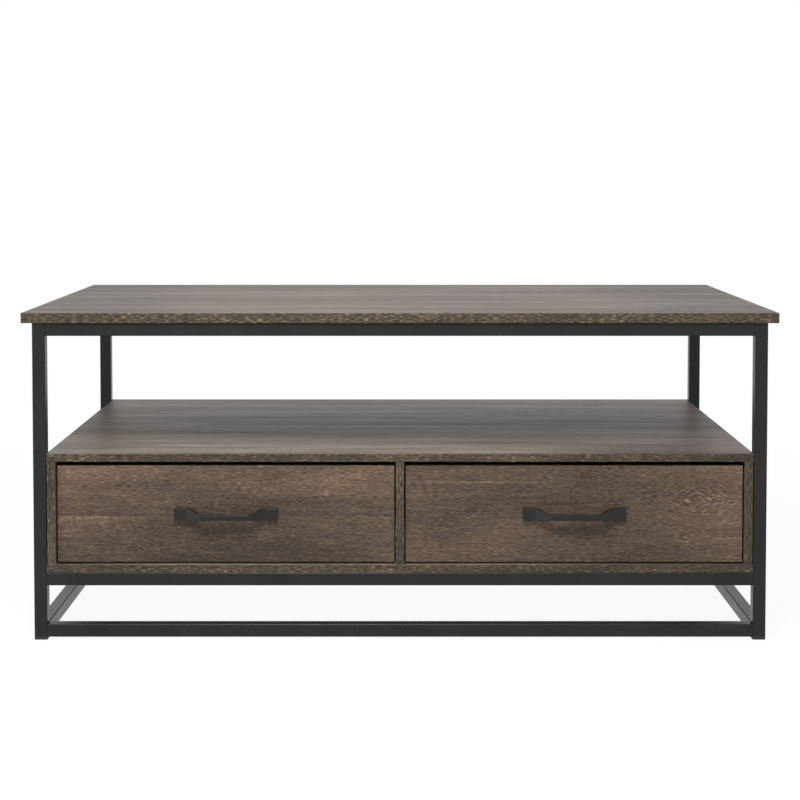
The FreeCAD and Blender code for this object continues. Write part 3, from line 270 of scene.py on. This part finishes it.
def shelf_painted_light(tree, spot):
    """Where to read the grain, and a painted pool of light, with painted shade at its ends, along the front
    edge.

    The tone is the pool's tone round its middle and its negative at the ends, with a smooth step between,
    times a smooth step from 0 where the lit strip comes in to 1 where it is full.
    """
    place = add(tree, "ShaderNodeSeparateXYZ", {"Vector": spot})
    depth = {"Value": place.outputs["Y"], "From Min": LIT_STRIP_START, "From Max": LIT_STRIP_FULL}
    in_lit_strip = add(tree, "ShaderNodeMapRange", depth, interpolation_type="SMOOTHSTEP")
    along = add(tree, "ShaderNodeMath", {0: place.outputs["X"], 1: LIGHT_POOL_MIDDLE}, operation="SUBTRACT")
    aside = add(tree, "ShaderNodeMath", {0: along}, operation="ABSOLUTE")
    width = {"Value": aside, "From Min": LIGHT_POOL_BRIGHT, "From Max": LIGHT_POOL_SHADED}
    width |= {"To Min": LIGHT_POOL_TONE, "To Max": -LIGHT_POOL_TONE}
    plank_and_light_pool = add(tree, "ShaderNodeMapRange", width, interpolation_type="SMOOTHSTEP")
    return spot, add(tree, "ShaderNodeMath", {0: in_lit_strip, 1: plank_and_light_pool}, operation="MULTIPLY")


# The shelf's print carries a painted pool of light and painted shade along its front edge.
shelf_oak = oak_print("melamine_oak_across", 0, 2, GREY_OAK, CALM_LAYERS, 0.46, shelf_painted_light)
upright_oak = oak_print("melamine_oak_upright", 2, 0, GREY_OAK, CALM_LAYERS, 0.46)
dress(shelf_oak, "shelf_board", "cabinet_bottom")
dress(upright_oak, "cabinet_side_left", "cabinet_side_right", "cabinet_divider")

# Cabinet back and drawer bottoms. Hardboard, 3 mm: brown wood fibre hot pressed into a smooth sheet
# with darker fibre bundles scattered through it, let into grooves.
hardboard, tree, spot = material_named("hardboard")
pulp = add(tree, "ShaderNodeTexNoise", {"Vector": spot, "Scale": 1 / 0.002, "Detail": 6.0, "Roughness": 0.7})
cloud = add(tree, "ShaderNodeTexNoise", {"Vector": spot, "Scale": 1 / 0.005, "Detail": 4.0})
mixed = add(tree, "ShaderNodeMath", {0: pulp, 1: cloud})
mean = add(tree, "ShaderNodeMath", {0: mixed, 1: 0.5}, operation="MULTIPLY")
FIBRES = [(0.36, "#524335"), (0.5, "#5d4c3d"), (0.64, "#685645")]
tone = add(tree, "ShaderNodeValToRGB", {"Fac": mean}, stops=FIBRES)
calender = add(tree, "ShaderNodeMapRange", {"Value": pulp, "To Min": 0.55, "To Max": 0.75})
press = add(tree, "ShaderNodeBump", {"Height": pulp, "Strength": 0.12, "Distance": 0.0002})
sheet = {"Base Color": tone, "Roughness": calender, "Normal": press, "IOR": 1.5, "Specular IOR Level": 0.3}
surface = add(tree, "ShaderNodeBsdfPrincipled", sheet)
add(tree, "ShaderNodeOutputMaterial", {"Surface": surface})
dress(hardboard, "cabinet_back", "left_drawer_bottom", "right_drawer_bottom")

# Screws and cam fittings. Zinc plated steel, bright and faintly blue, with a fine tumbled grain. The cast
# cam nuts turn on steel bolts; the screws have pan heads with a cross recess and rolled threads.
zinc_plate, tree, spot = material_named("zinc_plated_steel")
tumble = add(tree, "ShaderNodeTexNoise", {"Vector": spot, "Scale": 1 / 0.0012, "Detail": 4.0})
tone = add(tree, "ShaderNodeValToRGB", {"Fac": tumble}, stops=[(0.3, "#a7abb0"), (0.7, "#c9ccd0")])
grain = add(tree, "ShaderNodeMapRange", {"Value": tumble, "To Min": 0.28, "To Max": 0.45})
surface = add(tree, "ShaderNodeBsdfPrincipled", {"Base Color": tone, "Roughness": grain, "Metallic": 1.0})
add(tree, "ShaderNodeOutputMaterial", {"Surface": surface})
dress(zinc_plate, "cabinet_cam_fittings", "left_drawer_cam_fittings", "right_drawer_cam_fittings")

SCREW_SIDES = 24
CORE = 0.72
DOME = 0.4
RECESS_DEPTH, RECESS_REACH, RECESS_HALF_WIDTH = 0.55, 0.56, 0.14
HEAD_ROWS, ROWS_PER_TURN = 15, 6
WOOD_PITCH, SLIDE_PITCH, MACHINE_PITCH = 0.0018, 0.0015, 0.0009
SCREW_CREASE = math.radians(35)


def solids_of(name):
    """The points of each separate solid of a CAD node, in the scene.

    Each point starts with a number of its own, and points that share an edge take the lower of the two
    until nothing changes, which leaves one number for each solid.
    """
    node = nodes[name]
    points = np.empty(len(node.data.vertices) * 3)
    node.data.vertices.foreach_get("co", points)
    turned = points.reshape(-1, 3) @ np.array(node.matrix_world.to_3x3()).T
    points = turned + np.array(node.matrix_world.translation)
    pairs = np.empty(len(node.data.edges) * 2, dtype=np.int64)
    node.data.edges.foreach_get("vertices", pairs)
    _, same = np.unique(np.round(points, 6), axis=0, return_inverse=True)
    same = same.reshape(-1)
    ends = same[pairs].reshape(-1, 2)
    number, before = np.arange(len(points)), None
    while before is None or (number != before).any():
        before = number.copy()
        np.minimum.at(number, ends.reshape(-1), np.repeat(number[ends].min(axis=1), 2))
    number = number[same]
    return [points[number == one] for one in np.unique(number)]


def screw(points, pitch):
    """A threaded screw in place of a plain one, whose points give its axis, its lengths and its radii.

    The thread's radius is shank (core + (1 - core) |2 frac(s / pitch - turn) - 1|), run out to the core at
    the head and to nothing at a pointed tip. The head at the share q of its radius is domed by q ** 2.5,
    with a cross sunk in it.
    """
    axis = int(np.argmax(np.ptp(points, axis=0)))
    middle = (points.min(axis=0) + points.max(axis=0)) / 2
    out = np.linalg.norm(np.delete(points - middle, axis, axis=1), axis=1)
    head = out > 0.95 * out.max()
    sign = 1.0 if points[head, axis].mean() < middle[axis] else -1.0
    depth = sign * points[:, axis]
    top, seat, tip = depth.min(), depth[head].max(), depth.max()
    radius, height, length = out.max(), seat - top, tip - seat
    shank = np.median(out[(~head) & (out > 0.2 * radius)])
    pointed = out[depth > tip - 1e-5].max() < 0.2 * shank
    turn = np.arange(SCREW_SIDES)[None, :] / SCREW_SIDES
    cosine, sine = np.cos(2 * math.pi * turn), np.sin(2 * math.pi * turn)
    share = np.linspace(0.06, 1.0, HEAD_ROWS)[:, None]
    x, y = np.abs(share * cosine), np.abs(share * sine)
    sunk = (np.minimum(x, y) < RECESS_HALF_WIDTH) & (np.maximum(x, y) < RECESS_REACH)
    dome = top + DOME * height * share**2.5 + RECESS_DEPTH * height * sunk
    down = np.linspace(0, length, int(length / pitch * ROWS_PER_TURN))[:, None]
    wave = np.abs(2 * ((down / pitch - turn) % 1.0) - 1) * np.clip(down / pitch, 0, 1)
    point = np.clip((length - down) / (2 * shank), 0.04, 1) if pointed else 1.0
    thread = shank * (CORE + (1 - CORE) * wave) * point
    reach = np.concatenate([radius * share + 0 * turn, np.full((1, SCREW_SIDES), radius), thread])
    level = np.concatenate([dome, np.full((1, SCREW_SIDES), seat), seat + down + 0 * turn])
    grid = np.empty((*reach.shape, 3))
    second, third = (axis + 1) % 3, (axis + 2) % 3
    grid[..., axis] = sign * level
    grid[..., second] = middle[second] + reach * cosine
    grid[..., third] = middle[third] + sign * reach * sine
    poles = np.stack([grid[0].mean(axis=0), grid[-1].mean(axis=0)])
    return np.concatenate([grid.reshape(-1, 3), poles]), closed_faces(len(grid), SCREW_SIDES)


SCREW_NODES = [
    (name, "table", WOOD_PITCH)
    for name in ("top_screws", "cabinet_screws", "upright_screws", "channel_screws")
]
DRAWER_SCREWS = {"handle_screws": MACHINE_PITCH, "back_screws": WOOD_PITCH, "slide_screws": SLIDE_PITCH}
SCREW_NODES += [
    (f"{side}_drawer_{kind}", f"{side}_drawer", pitch)
    for side in SIDES
    for kind, pitch in DRAWER_SCREWS.items()
]
for name, body, pitch in SCREW_NODES:
    screw_points, screw_faces, count = [], [], 0
    for solid in solids_of(name):
        points, faces = screw(solid, pitch)
        screw_points.append(points)
        screw_faces += [group + count for group in faces]
        count += len(points)
    threaded = np.concatenate(screw_points)
    piece = new_piece(f"threaded_{name}", threaded, screw_faces, zinc_plate, body)
    piece.data.set_sharp_from_angle(angle=SCREW_CREASE)
    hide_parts(name)

# Runners. Steel strip, 1.2 mm, coated with off-white epoxy that pools a little, rolled to a channel on the
# cabinet and a slide on the drawer, cut to length and screwed to the boards. The cut ends show bare steel,
# coloured dark, which is also painted shade where they show in the gaps round the drawer fronts.
epoxy_coat, tree, spot = material_named("epoxy_coated_steel")
pool = add(tree, "ShaderNodeTexNoise", {"Vector": spot, "Scale": 1 / 0.025, "Detail": 3.0})
peel = add(tree, "ShaderNodeTexNoise", {"Vector": spot, "Scale": 1 / 0.0018, "Detail": 2.0})
tone = add(tree, "ShaderNodeValToRGB", {"Fac": pool}, stops=[(0.3, "#cfccc2"), (0.7, "#dedcd4")])
gloss = add(tree, "ShaderNodeMapRange", {"Value": pool, "To Min": 0.3, "To Max": 0.42})
skin = add(tree, "ShaderNodeBump", {"Height": peel, "Strength": 0.15, "Distance": 0.0002})
# An end lies more than CUT_REACH along Y from the strips' middle and looks along Y.
CUT_MIDDLE, CUT_REACH, BARE_STEEL_AND_SHADE = -0.0608, 0.2138, linear("#4a4947")
place = add(tree, "ShaderNodeSeparateXYZ", {"Vector": spot})
along = add(tree, "ShaderNodeMath", {0: place.outputs["Y"], 1: CUT_MIDDLE}, operation="SUBTRACT")
away = add(tree, "ShaderNodeMath", {0: along}, operation="ABSOLUTE")
at_end = add(tree, "ShaderNodeMath", {0: away, 1: CUT_REACH}, operation="GREATER_THAN")
geometry = add(tree, "ShaderNodeNewGeometry")
side = add(tree, "ShaderNodeSeparateXYZ", {"Vector": geometry.outputs["True Normal"]})
square = add(tree, "ShaderNodeMath", {0: side.outputs["Y"]}, operation="ABSOLUTE")
# Dark bare steel at the cut ends, also painted shade where they show in the gaps round the drawer fronts.
cut = add(tree, "ShaderNodeMath", {0: at_end, 1: square}, operation="MULTIPLY")
colour = add(tree, "ShaderNodeMix", {0: cut, 6: tone, 7: BARE_STEEL_AND_SHADE}, data_type="RGBA").outputs[2]
coat = {"Base Color": colour, "Metallic": cut, "Roughness": gloss, "Normal": skin, "IOR": 1.5}
surface = add(tree, "ShaderNodeBsdfPrincipled", coat)
add(tree, "ShaderNodeOutputMaterial", {"Surface": surface})
dress(
    epoxy_coat,
    *(f"{side}_bay_channel_{hand}" for side in SIDES for hand in SIDES),
    *(f"{side}_drawer_slide_{hand}" for side in SIDES for hand in SIDES),
)

# Rollers. Moulded nylon wheels that turn on rivets, one at the front of each channel and one at the back of
# each slide: milky, a little light showing through, rubbed dull where they run.
nylon, tree, spot = material_named("nylon")
wear = add(tree, "ShaderNodeTexNoise", {"Vector": spot, "Scale": 1 / 0.0025, "Detail": 4.0})
tone = add(tree, "ShaderNodeValToRGB", {"Fac": wear}, stops=[(0.3, "#cbc9bf"), (0.7, "#e6e4db")])
rub = add(tree, "ShaderNodeMapRange", {"Value": wear, "To Min": 0.38, "To Max": 0.55})
milk = {"Base Color": tone, "Roughness": rub, "IOR": 1.53, "Specular IOR Level": 0.45}
milk |= {"Subsurface Weight": 0.12, "Subsurface Scale": 0.002}
surface = add(tree, "ShaderNodeBsdfPrincipled", milk)
add(tree, "ShaderNodeOutputMaterial", {"Surface": surface})
dress(nylon, *(f"{side}_{owner}_rollers" for side in SIDES for owner in ("bay", "drawer")))

# Drawer boxes. Two sides and a back of particle board, wrapped in a plain warm grey paper with a fine linen
# press, joined to the front with cam fittings and to the back with screws.
linen_paper, tree, spot = material_named("linen_melamine")
weave = add(tree, "ShaderNodeTexVoronoi", {"Vector": spot, "Scale": 1 / 0.0016, "Randomness": 0.55})
shade = add(tree, "ShaderNodeTexNoise", {"Vector": spot, "Scale": 1 / 0.070, "Detail": 3.0})
tone = add(tree, "ShaderNodeValToRGB", {"Fac": shade}, stops=[(0.3, "#6c645b"), (0.7, "#7d756b")])
dull = add(tree, "ShaderNodeMapRange", {"Value": shade, "To Min": 0.5, "To Max": 0.62})
press = add(tree, "ShaderNodeBump", {"Height": weave, "Strength": 0.2, "Distance": 0.0002})
paper = {"Base Color": tone, "Roughness": dull, "Normal": press, "IOR": 1.5, "Specular IOR Level": 0.35}
surface = add(tree, "ShaderNodeBsdfPrincipled", paper)
add(tree, "ShaderNodeOutputMaterial", {"Surface": surface})
BOX_BOARDS = ("side_left", "side_right", "back")
dress(linen_paper, *(f"{side}_drawer_{board}" for side in SIDES for board in BOX_BOARDS))

# Drawer fronts. The same melamine board, its print cut from warmer, livelier boards: each front shows an
# upper and a lower plank. The left one has saw marks, the right one a knot.
LIVELY_LAYERS = [
    (38, 190, 1.0, 0.4, 0.19, 0.37),
    (5.0, 150, 2.0, 0.6, -0.06, 0.06),
    (1.0, 42, 1.0, 0.5, -0.17, 0.17),
    (0.7, 8.0, 0.0, 0.2, -0.22, 0.22),
]
WARM_OAK = [(0.0, "#271c13"), (0.36, "#4f3f31"), (0.62, "#675441"), (1.0, "#a58b6e")]
# The height where each front's planks join, and how much each plank is darker than the plain print. A plank
# is darkest midway, and paler by PALE_ENDS at the places FRONT_INNER and OUTER, and more beyond them.
JOINT_LEFT, UPPER_LEFT, LOWER_LEFT = 0.1827, -0.02, -0.12
JOINT_RIGHT, UPPER_RIGHT, LOWER_RIGHT = 0.2310, -0.05, -0.07
PALE_ENDS = 0.13
FRONT_INNER, OUTER_LEFT, OUTER_RIGHT = 0.008, 0.501, 0.44
# Painted light from above: on the left front each plank is paler at its upper edge than at its lower one,
# by the lean per metre.
PAINTED_LIGHT_LEAN, PLANK_HEIGHT = 2.8, 0.068
# Knots: (x, z in mm, how much longer than high, reach mm, ring spacing mm, tone of the rings).
KNOTS = [(438, 207, 1.5, 30, 5.6, 0.06), (416, 152, 0.9, 18, 5.0, 0.07)]
RING_BEND, KNOT_PULL = 14.0, 0.8
# Saw marks: where along X they start and are full, and the tone of the palest. The patch fades downwards: at
# SAWN_FADED from the joint the tone is multiplied by SAWN_LAST, and so a little darker than the plank.
SAWN_START, SAWN_FULL, SAWN_TONE = -0.34, -0.45, 0.30
SAWN_FADED, SAWN_LAST = -0.055, -0.25
# The joint is a line of SEAM_TONE on the left front. On the right one it has a painted highlight, a glint
# brightest at GLINT_X.
SEAM_TONE, GLINT_X, GLINT_TONE = -0.14, 0.11, 0.34


def front_figure(tree, spot):
    """Where to read the grain, so that it runs round the knots, and the tone of planks, saw marks and rings.

    Round a knot the height z is read nearer its middle, by pull dz / (1 + d^4), with d the distance over the
    knot's reach on an ellipse. Its rings are sin(2 pi d reach / spacing), bent by noise, over the same fall.
    The tone also holds painted light, paler toward the upper edge of each plank on the left front, and a
    painted highlight along the right front's joint.
    """
    place = add(tree, "ShaderNodeSeparateXYZ", {"Vector": spot})
    across, up = place.outputs["X"], place.outputs["Z"]
    left = add(tree, "ShaderNodeMapRange", {"Value": across, "From Min": 0.004, "From Max": -0.004})
    joint = add(tree, "ShaderNodeMapRange", {"Value": left, "To Min": JOINT_RIGHT, "To Max": JOINT_LEFT})
    above = add(tree, "ShaderNodeMath", {0: up, 1: joint}, operation="SUBTRACT")
    is_upper = add(tree, "ShaderNodeMapRange", {"Value": above, "From Min": -0.0008, "From Max": 0.0008})
    upper = add(tree, "ShaderNodeMapRange", {"Value": left, "To Min": UPPER_RIGHT, "To Max": UPPER_LEFT})
    lower = add(tree, "ShaderNodeMapRange", {"Value": left, "To Min": LOWER_RIGHT, "To Max": LOWER_LEFT})
    planks = {"Value": is_upper, "To Min": lower.outputs[0], "To Max": upper.outputs[0]}
    plank_and_light_pool = add(tree, "ShaderNodeMapRange", planks)
    aside = add(tree, "ShaderNodeMath", {0: across}, operation="ABSOLUTE")
    outer = add(tree, "ShaderNodeMapRange", {"Value": left, "To Min": OUTER_RIGHT, "To Max": OUTER_LEFT})
    width = {"Value": aside, "From Min": FRONT_INNER, "From Max": outer, "To Min": -1.0, "To Max": 1.0}
    off_middle = add(tree, "ShaderNodeMapRange", width, clamp=False)
    ends = add(tree, "ShaderNodeMath", {0: off_middle, 1: off_middle}, operation="MULTIPLY")
    total = add(tree, "ShaderNodeMath", {0: ends, 1: PALE_ENDS, 2: plank_and_light_pool}, operation="MULTIPLY_ADD")
    # Painted light from above: on the left front each plank gets darker downwards from its upper edge.
    step = add(tree, "ShaderNodeMath", {0: is_upper, 1: -PLANK_HEIGHT, 2: above}, operation="MULTIPLY_ADD")
    off_centre = add(tree, "ShaderNodeMath", {0: step, 1: PLANK_HEIGHT / 2})
    lean = add(tree, "ShaderNodeMath", {0: left, 1: PAINTED_LIGHT_LEAN}, operation="MULTIPLY")
    total = add(tree, "ShaderNodeMath", {0: off_centre, 1: lean, 2: total}, operation="MULTIPLY_ADD")
    # Saw marks stand upright on the left end of the left front's lower plank, over a lighter patch.
    lie = add(tree, "ShaderNodeMapping", {"Vector": spot, "Scale": (1 / 0.0015, 1.0, 1 / 0.020)})
    teeth = add(tree, "ShaderNodeTexNoise", {"Vector": lie, "Scale": 1.0, "Detail": 1.0})
    bite = {"Value": teeth, "From Min": 0.3, "From Max": 0.7, "To Max": SAWN_TONE}
    marks = add(tree, "ShaderNodeMapRange", bite)
    patch = {"Value": across, "From Min": SAWN_START, "From Max": SAWN_FULL}
    sawn = add(tree, "ShaderNodeMapRange", patch, interpolation_type="SMOOTHSTEP")
    fading = {"Value": above, "From Min": SAWN_FADED, "From Max": -0.002, "To Min": SAWN_LAST}
    fade = add(tree, "ShaderNodeMapRange", fading)
    below = add(tree, "ShaderNodeMath", {0: 1.0, 1: is_upper}, operation="SUBTRACT")
    for part in (sawn, fade, below):
        marks = add(tree, "ShaderNodeMath", {0: marks, 1: part}, operation="MULTIPLY")
    total = add(tree, "ShaderNodeMath", {0: total, 1: marks})
    near = add(tree, "ShaderNodeMath", {0: above}, operation="ABSOLUTE")
    seam = add(tree, "ShaderNodeMapRange", {"Value": near, "From Min": 0.0016, "From Max": 0.0004})
    # Painted highlight: a glint along the right front's joint.
    from_glint = add(tree, "ShaderNodeMath", {0: across, 1: GLINT_X}, operation="SUBTRACT")
    distance = add(tree, "ShaderNodeMath", {0: from_glint}, operation="ABSOLUTE")
    glint = {"Value": distance, "From Min": 0.13, "From Max": 0.02, "To Max": GLINT_TONE}
    run = add(tree, "ShaderNodeMapRange", glint)
    depth = add(tree, "ShaderNodeMapRange", {"Value": left, "To Min": run.outputs[0], "To Max": SEAM_TONE})
    total = add(tree, "ShaderNodeMath", {0: seam, 1: depth, 2: total}, operation="MULTIPLY_ADD")
    bend = add(tree, "ShaderNodeTexNoise", {"Vector": spot, "Scale": 1 / 0.016, "Detail": 3.0})
    for x, z, longer, reach, spacing, tone in KNOTS:
        heart = (x / 1000, 0, z / 1000)
        off = add(tree, "ShaderNodeVectorMath", {0: spot, 1: heart}, operation="SUBTRACT")
        ellipse = (1000 / (longer * reach), 0, 1000 / reach)
        unit = add(tree, "ShaderNodeVectorMath", {0: off, 1: ellipse}, operation="MULTIPLY")
        away = add(tree, "ShaderNodeVectorMath", {0: unit}, operation="LENGTH").outputs["Value"]
        fourth = add(tree, "ShaderNodeMath", {0: away, 1: 4.0}, operation="POWER")
        wide = add(tree, "ShaderNodeMath", {0: fourth, 1: 1.0})
        fall = add(tree, "ShaderNodeMath", {0: 1.0, 1: wide}, operation="DIVIDE")
        pull = add(tree, "ShaderNodeVectorMath", {0: off, 1: (0, 0, -KNOT_PULL)}, operation="MULTIPLY")
        moved = add(tree, "ShaderNodeVectorMath", {0: pull, "Scale": fall.outputs[0]}, operation="SCALE")
        spot = add(tree, "ShaderNodeVectorMath", {0: spot, 1: moved}).outputs[0]
        rings = 2 * math.pi * reach / spacing
        turns = add(tree, "ShaderNodeMath", {0: away, 1: rings}, operation="MULTIPLY")
        bent = add(tree, "ShaderNodeMath", {0: bend, 1: RING_BEND, 2: turns}, operation="MULTIPLY_ADD")
        ring = add(tree, "ShaderNodeMath", {0: bent}, operation="SINE")
        faint = add(tree, "ShaderNodeMath", {0: fall, 1: tone}, operation="MULTIPLY")
        total = add(tree, "ShaderNodeMath", {0: ring, 1: faint, 2: total}, operation="MULTIPLY_ADD")
    return spot, total


front_oak = oak_print("melamine_oak_front", 0, 1, WARM_OAK, LIVELY_LAYERS, 0.5, front_figure)
dress(front_oak, "left_drawer_front", "right_drawer_front")

# Handles. Die cast zinc, a bar and two flared feet in one piece, tumbled and sprayed satin black, screwed on
# from inside the drawer. The coat is thin, so the faces stay crisp and only the arrises are soft.
satin_black, tree, spot = material_named("satin_black_zinc")
cast = add(tree, "ShaderNodeTexNoise", {"Vector": spot, "Scale": 1 / 0.0012, "Detail": 3.0})
tone = add(tree, "ShaderNodeValToRGB", {"Fac": cast}, stops=[(0.3, "#0c0a08"), (0.7, "#14110e")])
satin = add(tree, "ShaderNodeMapRange", {"Value": cast, "To Min": 0.3, "To Max": 0.4})
skin = add(tree, "ShaderNodeBump", {"Height": cast, "Strength": 0.1, "Distance": 0.0002})
coat = {"Base Color": tone, "Roughness": satin, "Normal": skin, "IOR": 1.5, "Specular IOR Level": 0.36}
surface = add(tree, "ShaderNodeBsdfPrincipled", coat)
add(tree, "ShaderNodeOutputMaterial", {"Surface": surface})
dress(satin_black, "left_drawer_handle", "right_drawer_handle")

# Top. The same oak faced board in 15 mm, banded on all four edges, screwed down from below through the top
# rails. Its print is the calm one, a shade darker, with painted shade that darkens it again toward the ends.
TOP_LAYERS = [(42, 520, 2.0, 0.2, 0.18, 0.52), *CALM_LAYERS[1:]]
# Painted shade: how far from the middle the ends start to darken and are dark, and the tones of the middle
# and the ends.
SHADE_START, SHADE_FULL, LIT_MIDDLE_TONE, SHADED_END_TONE = 0.28, 0.46, 0.02, -0.18


def top_painted_shade(tree, spot):
    """Where to read the grain, and painted shade: a tone that goes smoothly from the middle's to darker
    ends.
    """
    place = add(tree, "ShaderNodeSeparateXYZ", {"Vector": spot})
    aside = add(tree, "ShaderNodeMath", {0: place.outputs["X"]}, operation="ABSOLUTE")
    ends = {"Value": aside, "From Min": SHADE_START, "From Max": SHADE_FULL}
    ends |= {"To Min": LIT_MIDDLE_TONE, "To Max": SHADED_END_TONE}
    return spot, add(tree, "ShaderNodeMapRange", ends, interpolation_type="SMOOTHSTEP")


# The top's print carries painted shade toward both ends.
top_oak = oak_print("melamine_oak_top", 0, 2, GREY_OAK, TOP_LAYERS, 0.5, top_painted_shade)
dress(top_oak, "table_top")

# Studio. A pale floor that keeps a faint shadow near the table and is white farther off, an even white
# room, and three soft lamps: the key in front above, one low on the left, and a weak one behind.
FLOOR_HALF = 9.0
ROOM_LIGHT = 0.38
LAMPS = (
    ("key", (-0.25, -1.65, 1.85), (0, -0.2, 0.3), 0.6, 52.0),
    ("side", (-2.4, -1.0, 0.7), (0, -0.2, 0.25), 1.2, 20.0),
    ("rear", (0.0, 1.9, 2.8), (0, 0.1, 0.25), 1.6, 8.0),
)


def looked_at(tree):
    """1 for a ray that sees the thing itself, straight, mirrored or through glass, else 0."""
    rays = add(tree, "ShaderNodeLightPath")
    straight = {0: rays.outputs["Is Camera Ray"], 1: rays.outputs["Is Glossy Ray"]}
    mirrored = add(tree, "ShaderNodeMath", straight, operation="MAXIMUM")
    through = {0: mirrored, 1: rays.outputs["Is Transmission Ray"]}
    return add(tree, "ShaderNodeMath", through, operation="MAXIMUM")


corners = [(-1, -1), (1, -1), (1, 1), (-1, 1)]
floor_mesh = bpy.data.meshes.new("floor")
floor_mesh.from_pydata([(x * FLOOR_HALF, y * FLOOR_HALF, 0) for x, y in corners], [], [(0, 1, 2, 3)])
floor = bpy.data.objects.new("floor", floor_mesh)
bpy.context.scene.collection.objects.link(floor)
pale_floor, tree, spot = material_named("pale_floor")
paint = {"Base Color": linear("#f4f4f4"), "Roughness": 0.8, "Specular IOR Level": 0.1}
surface = add(tree, "ShaderNodeBsdfPrincipled", paint)
away = add(tree, "ShaderNodeVectorMath", {0: spot}, operation="LENGTH").outputs["Value"]
fading = {"Value": away, "From Min": 0.5, "From Max": 2.2, "To Min": 0.94, "To Max": 1.0}
clean = add(tree, "ShaderNodeMapRange", fading, interpolation_type="SMOOTHSTEP")
share = add(tree, "ShaderNodeMath", {0: looked_at(tree), 1: clean}, operation="MULTIPLY")
white = add(tree, "ShaderNodeEmission", {"Color": (1, 1, 1, 1), "Strength": 1.0})
blend = add(tree, "ShaderNodeMixShader", {0: share, 1: surface, 2: white})
add(tree, "ShaderNodeOutputMaterial", {"Surface": blend})
floor_mesh.materials.append(pale_floor)

world = bpy.data.worlds.new("studio")
bpy.context.scene.world = world
world.use_nodes = True
tree = world.node_tree
tree.nodes.clear()
level = add(tree, "ShaderNodeMapRange", {"Value": looked_at(tree), "To Min": ROOM_LIGHT, "To Max": 1.0})
room = add(tree, "ShaderNodeBackground", {"Color": (1, 1, 1, 1), "Strength": level})
add(tree, "ShaderNodeOutputWorld", {"Surface": room})

for name, place, aim, size, watts in LAMPS:
    lamp = bpy.data.lights.new(name, "AREA")
    lamp.size = size
    lamp.energy = watts
    stand = bpy.data.objects.new(name, lamp)
    bpy.context.scene.collection.objects.link(stand)
    stand.location = place
    stand.rotation_euler = (Vector(aim) - Vector(place)).to_track_quat("-Z", "Y").to_euler()

# Camera. A long lens, almost level and shifted down, as far off as the photograph's perspective says. The
# last of the drop is a small tilt, so that the shift stays small enough for other views.
LENS, DROP, TILT = 78.086, -0.195, math.radians(2.567)
EYE = (0.0, -2.8065, 0.6924)
camera_data = bpy.data.cameras.new("camera")
camera_data.sensor_width = 36.0
camera_data.lens = LENS
camera_data.shift_y = DROP
camera = bpy.data.objects.new("camera", camera_data)
bpy.context.scene.collection.objects.link(camera)
camera.location = EYE
camera.rotation_euler = (math.pi / 2 - TILT, 0.0, 0.0)
bpy.context.scene.camera = camera
bpy.context.scene.view_settings.view_transform = "Standard"
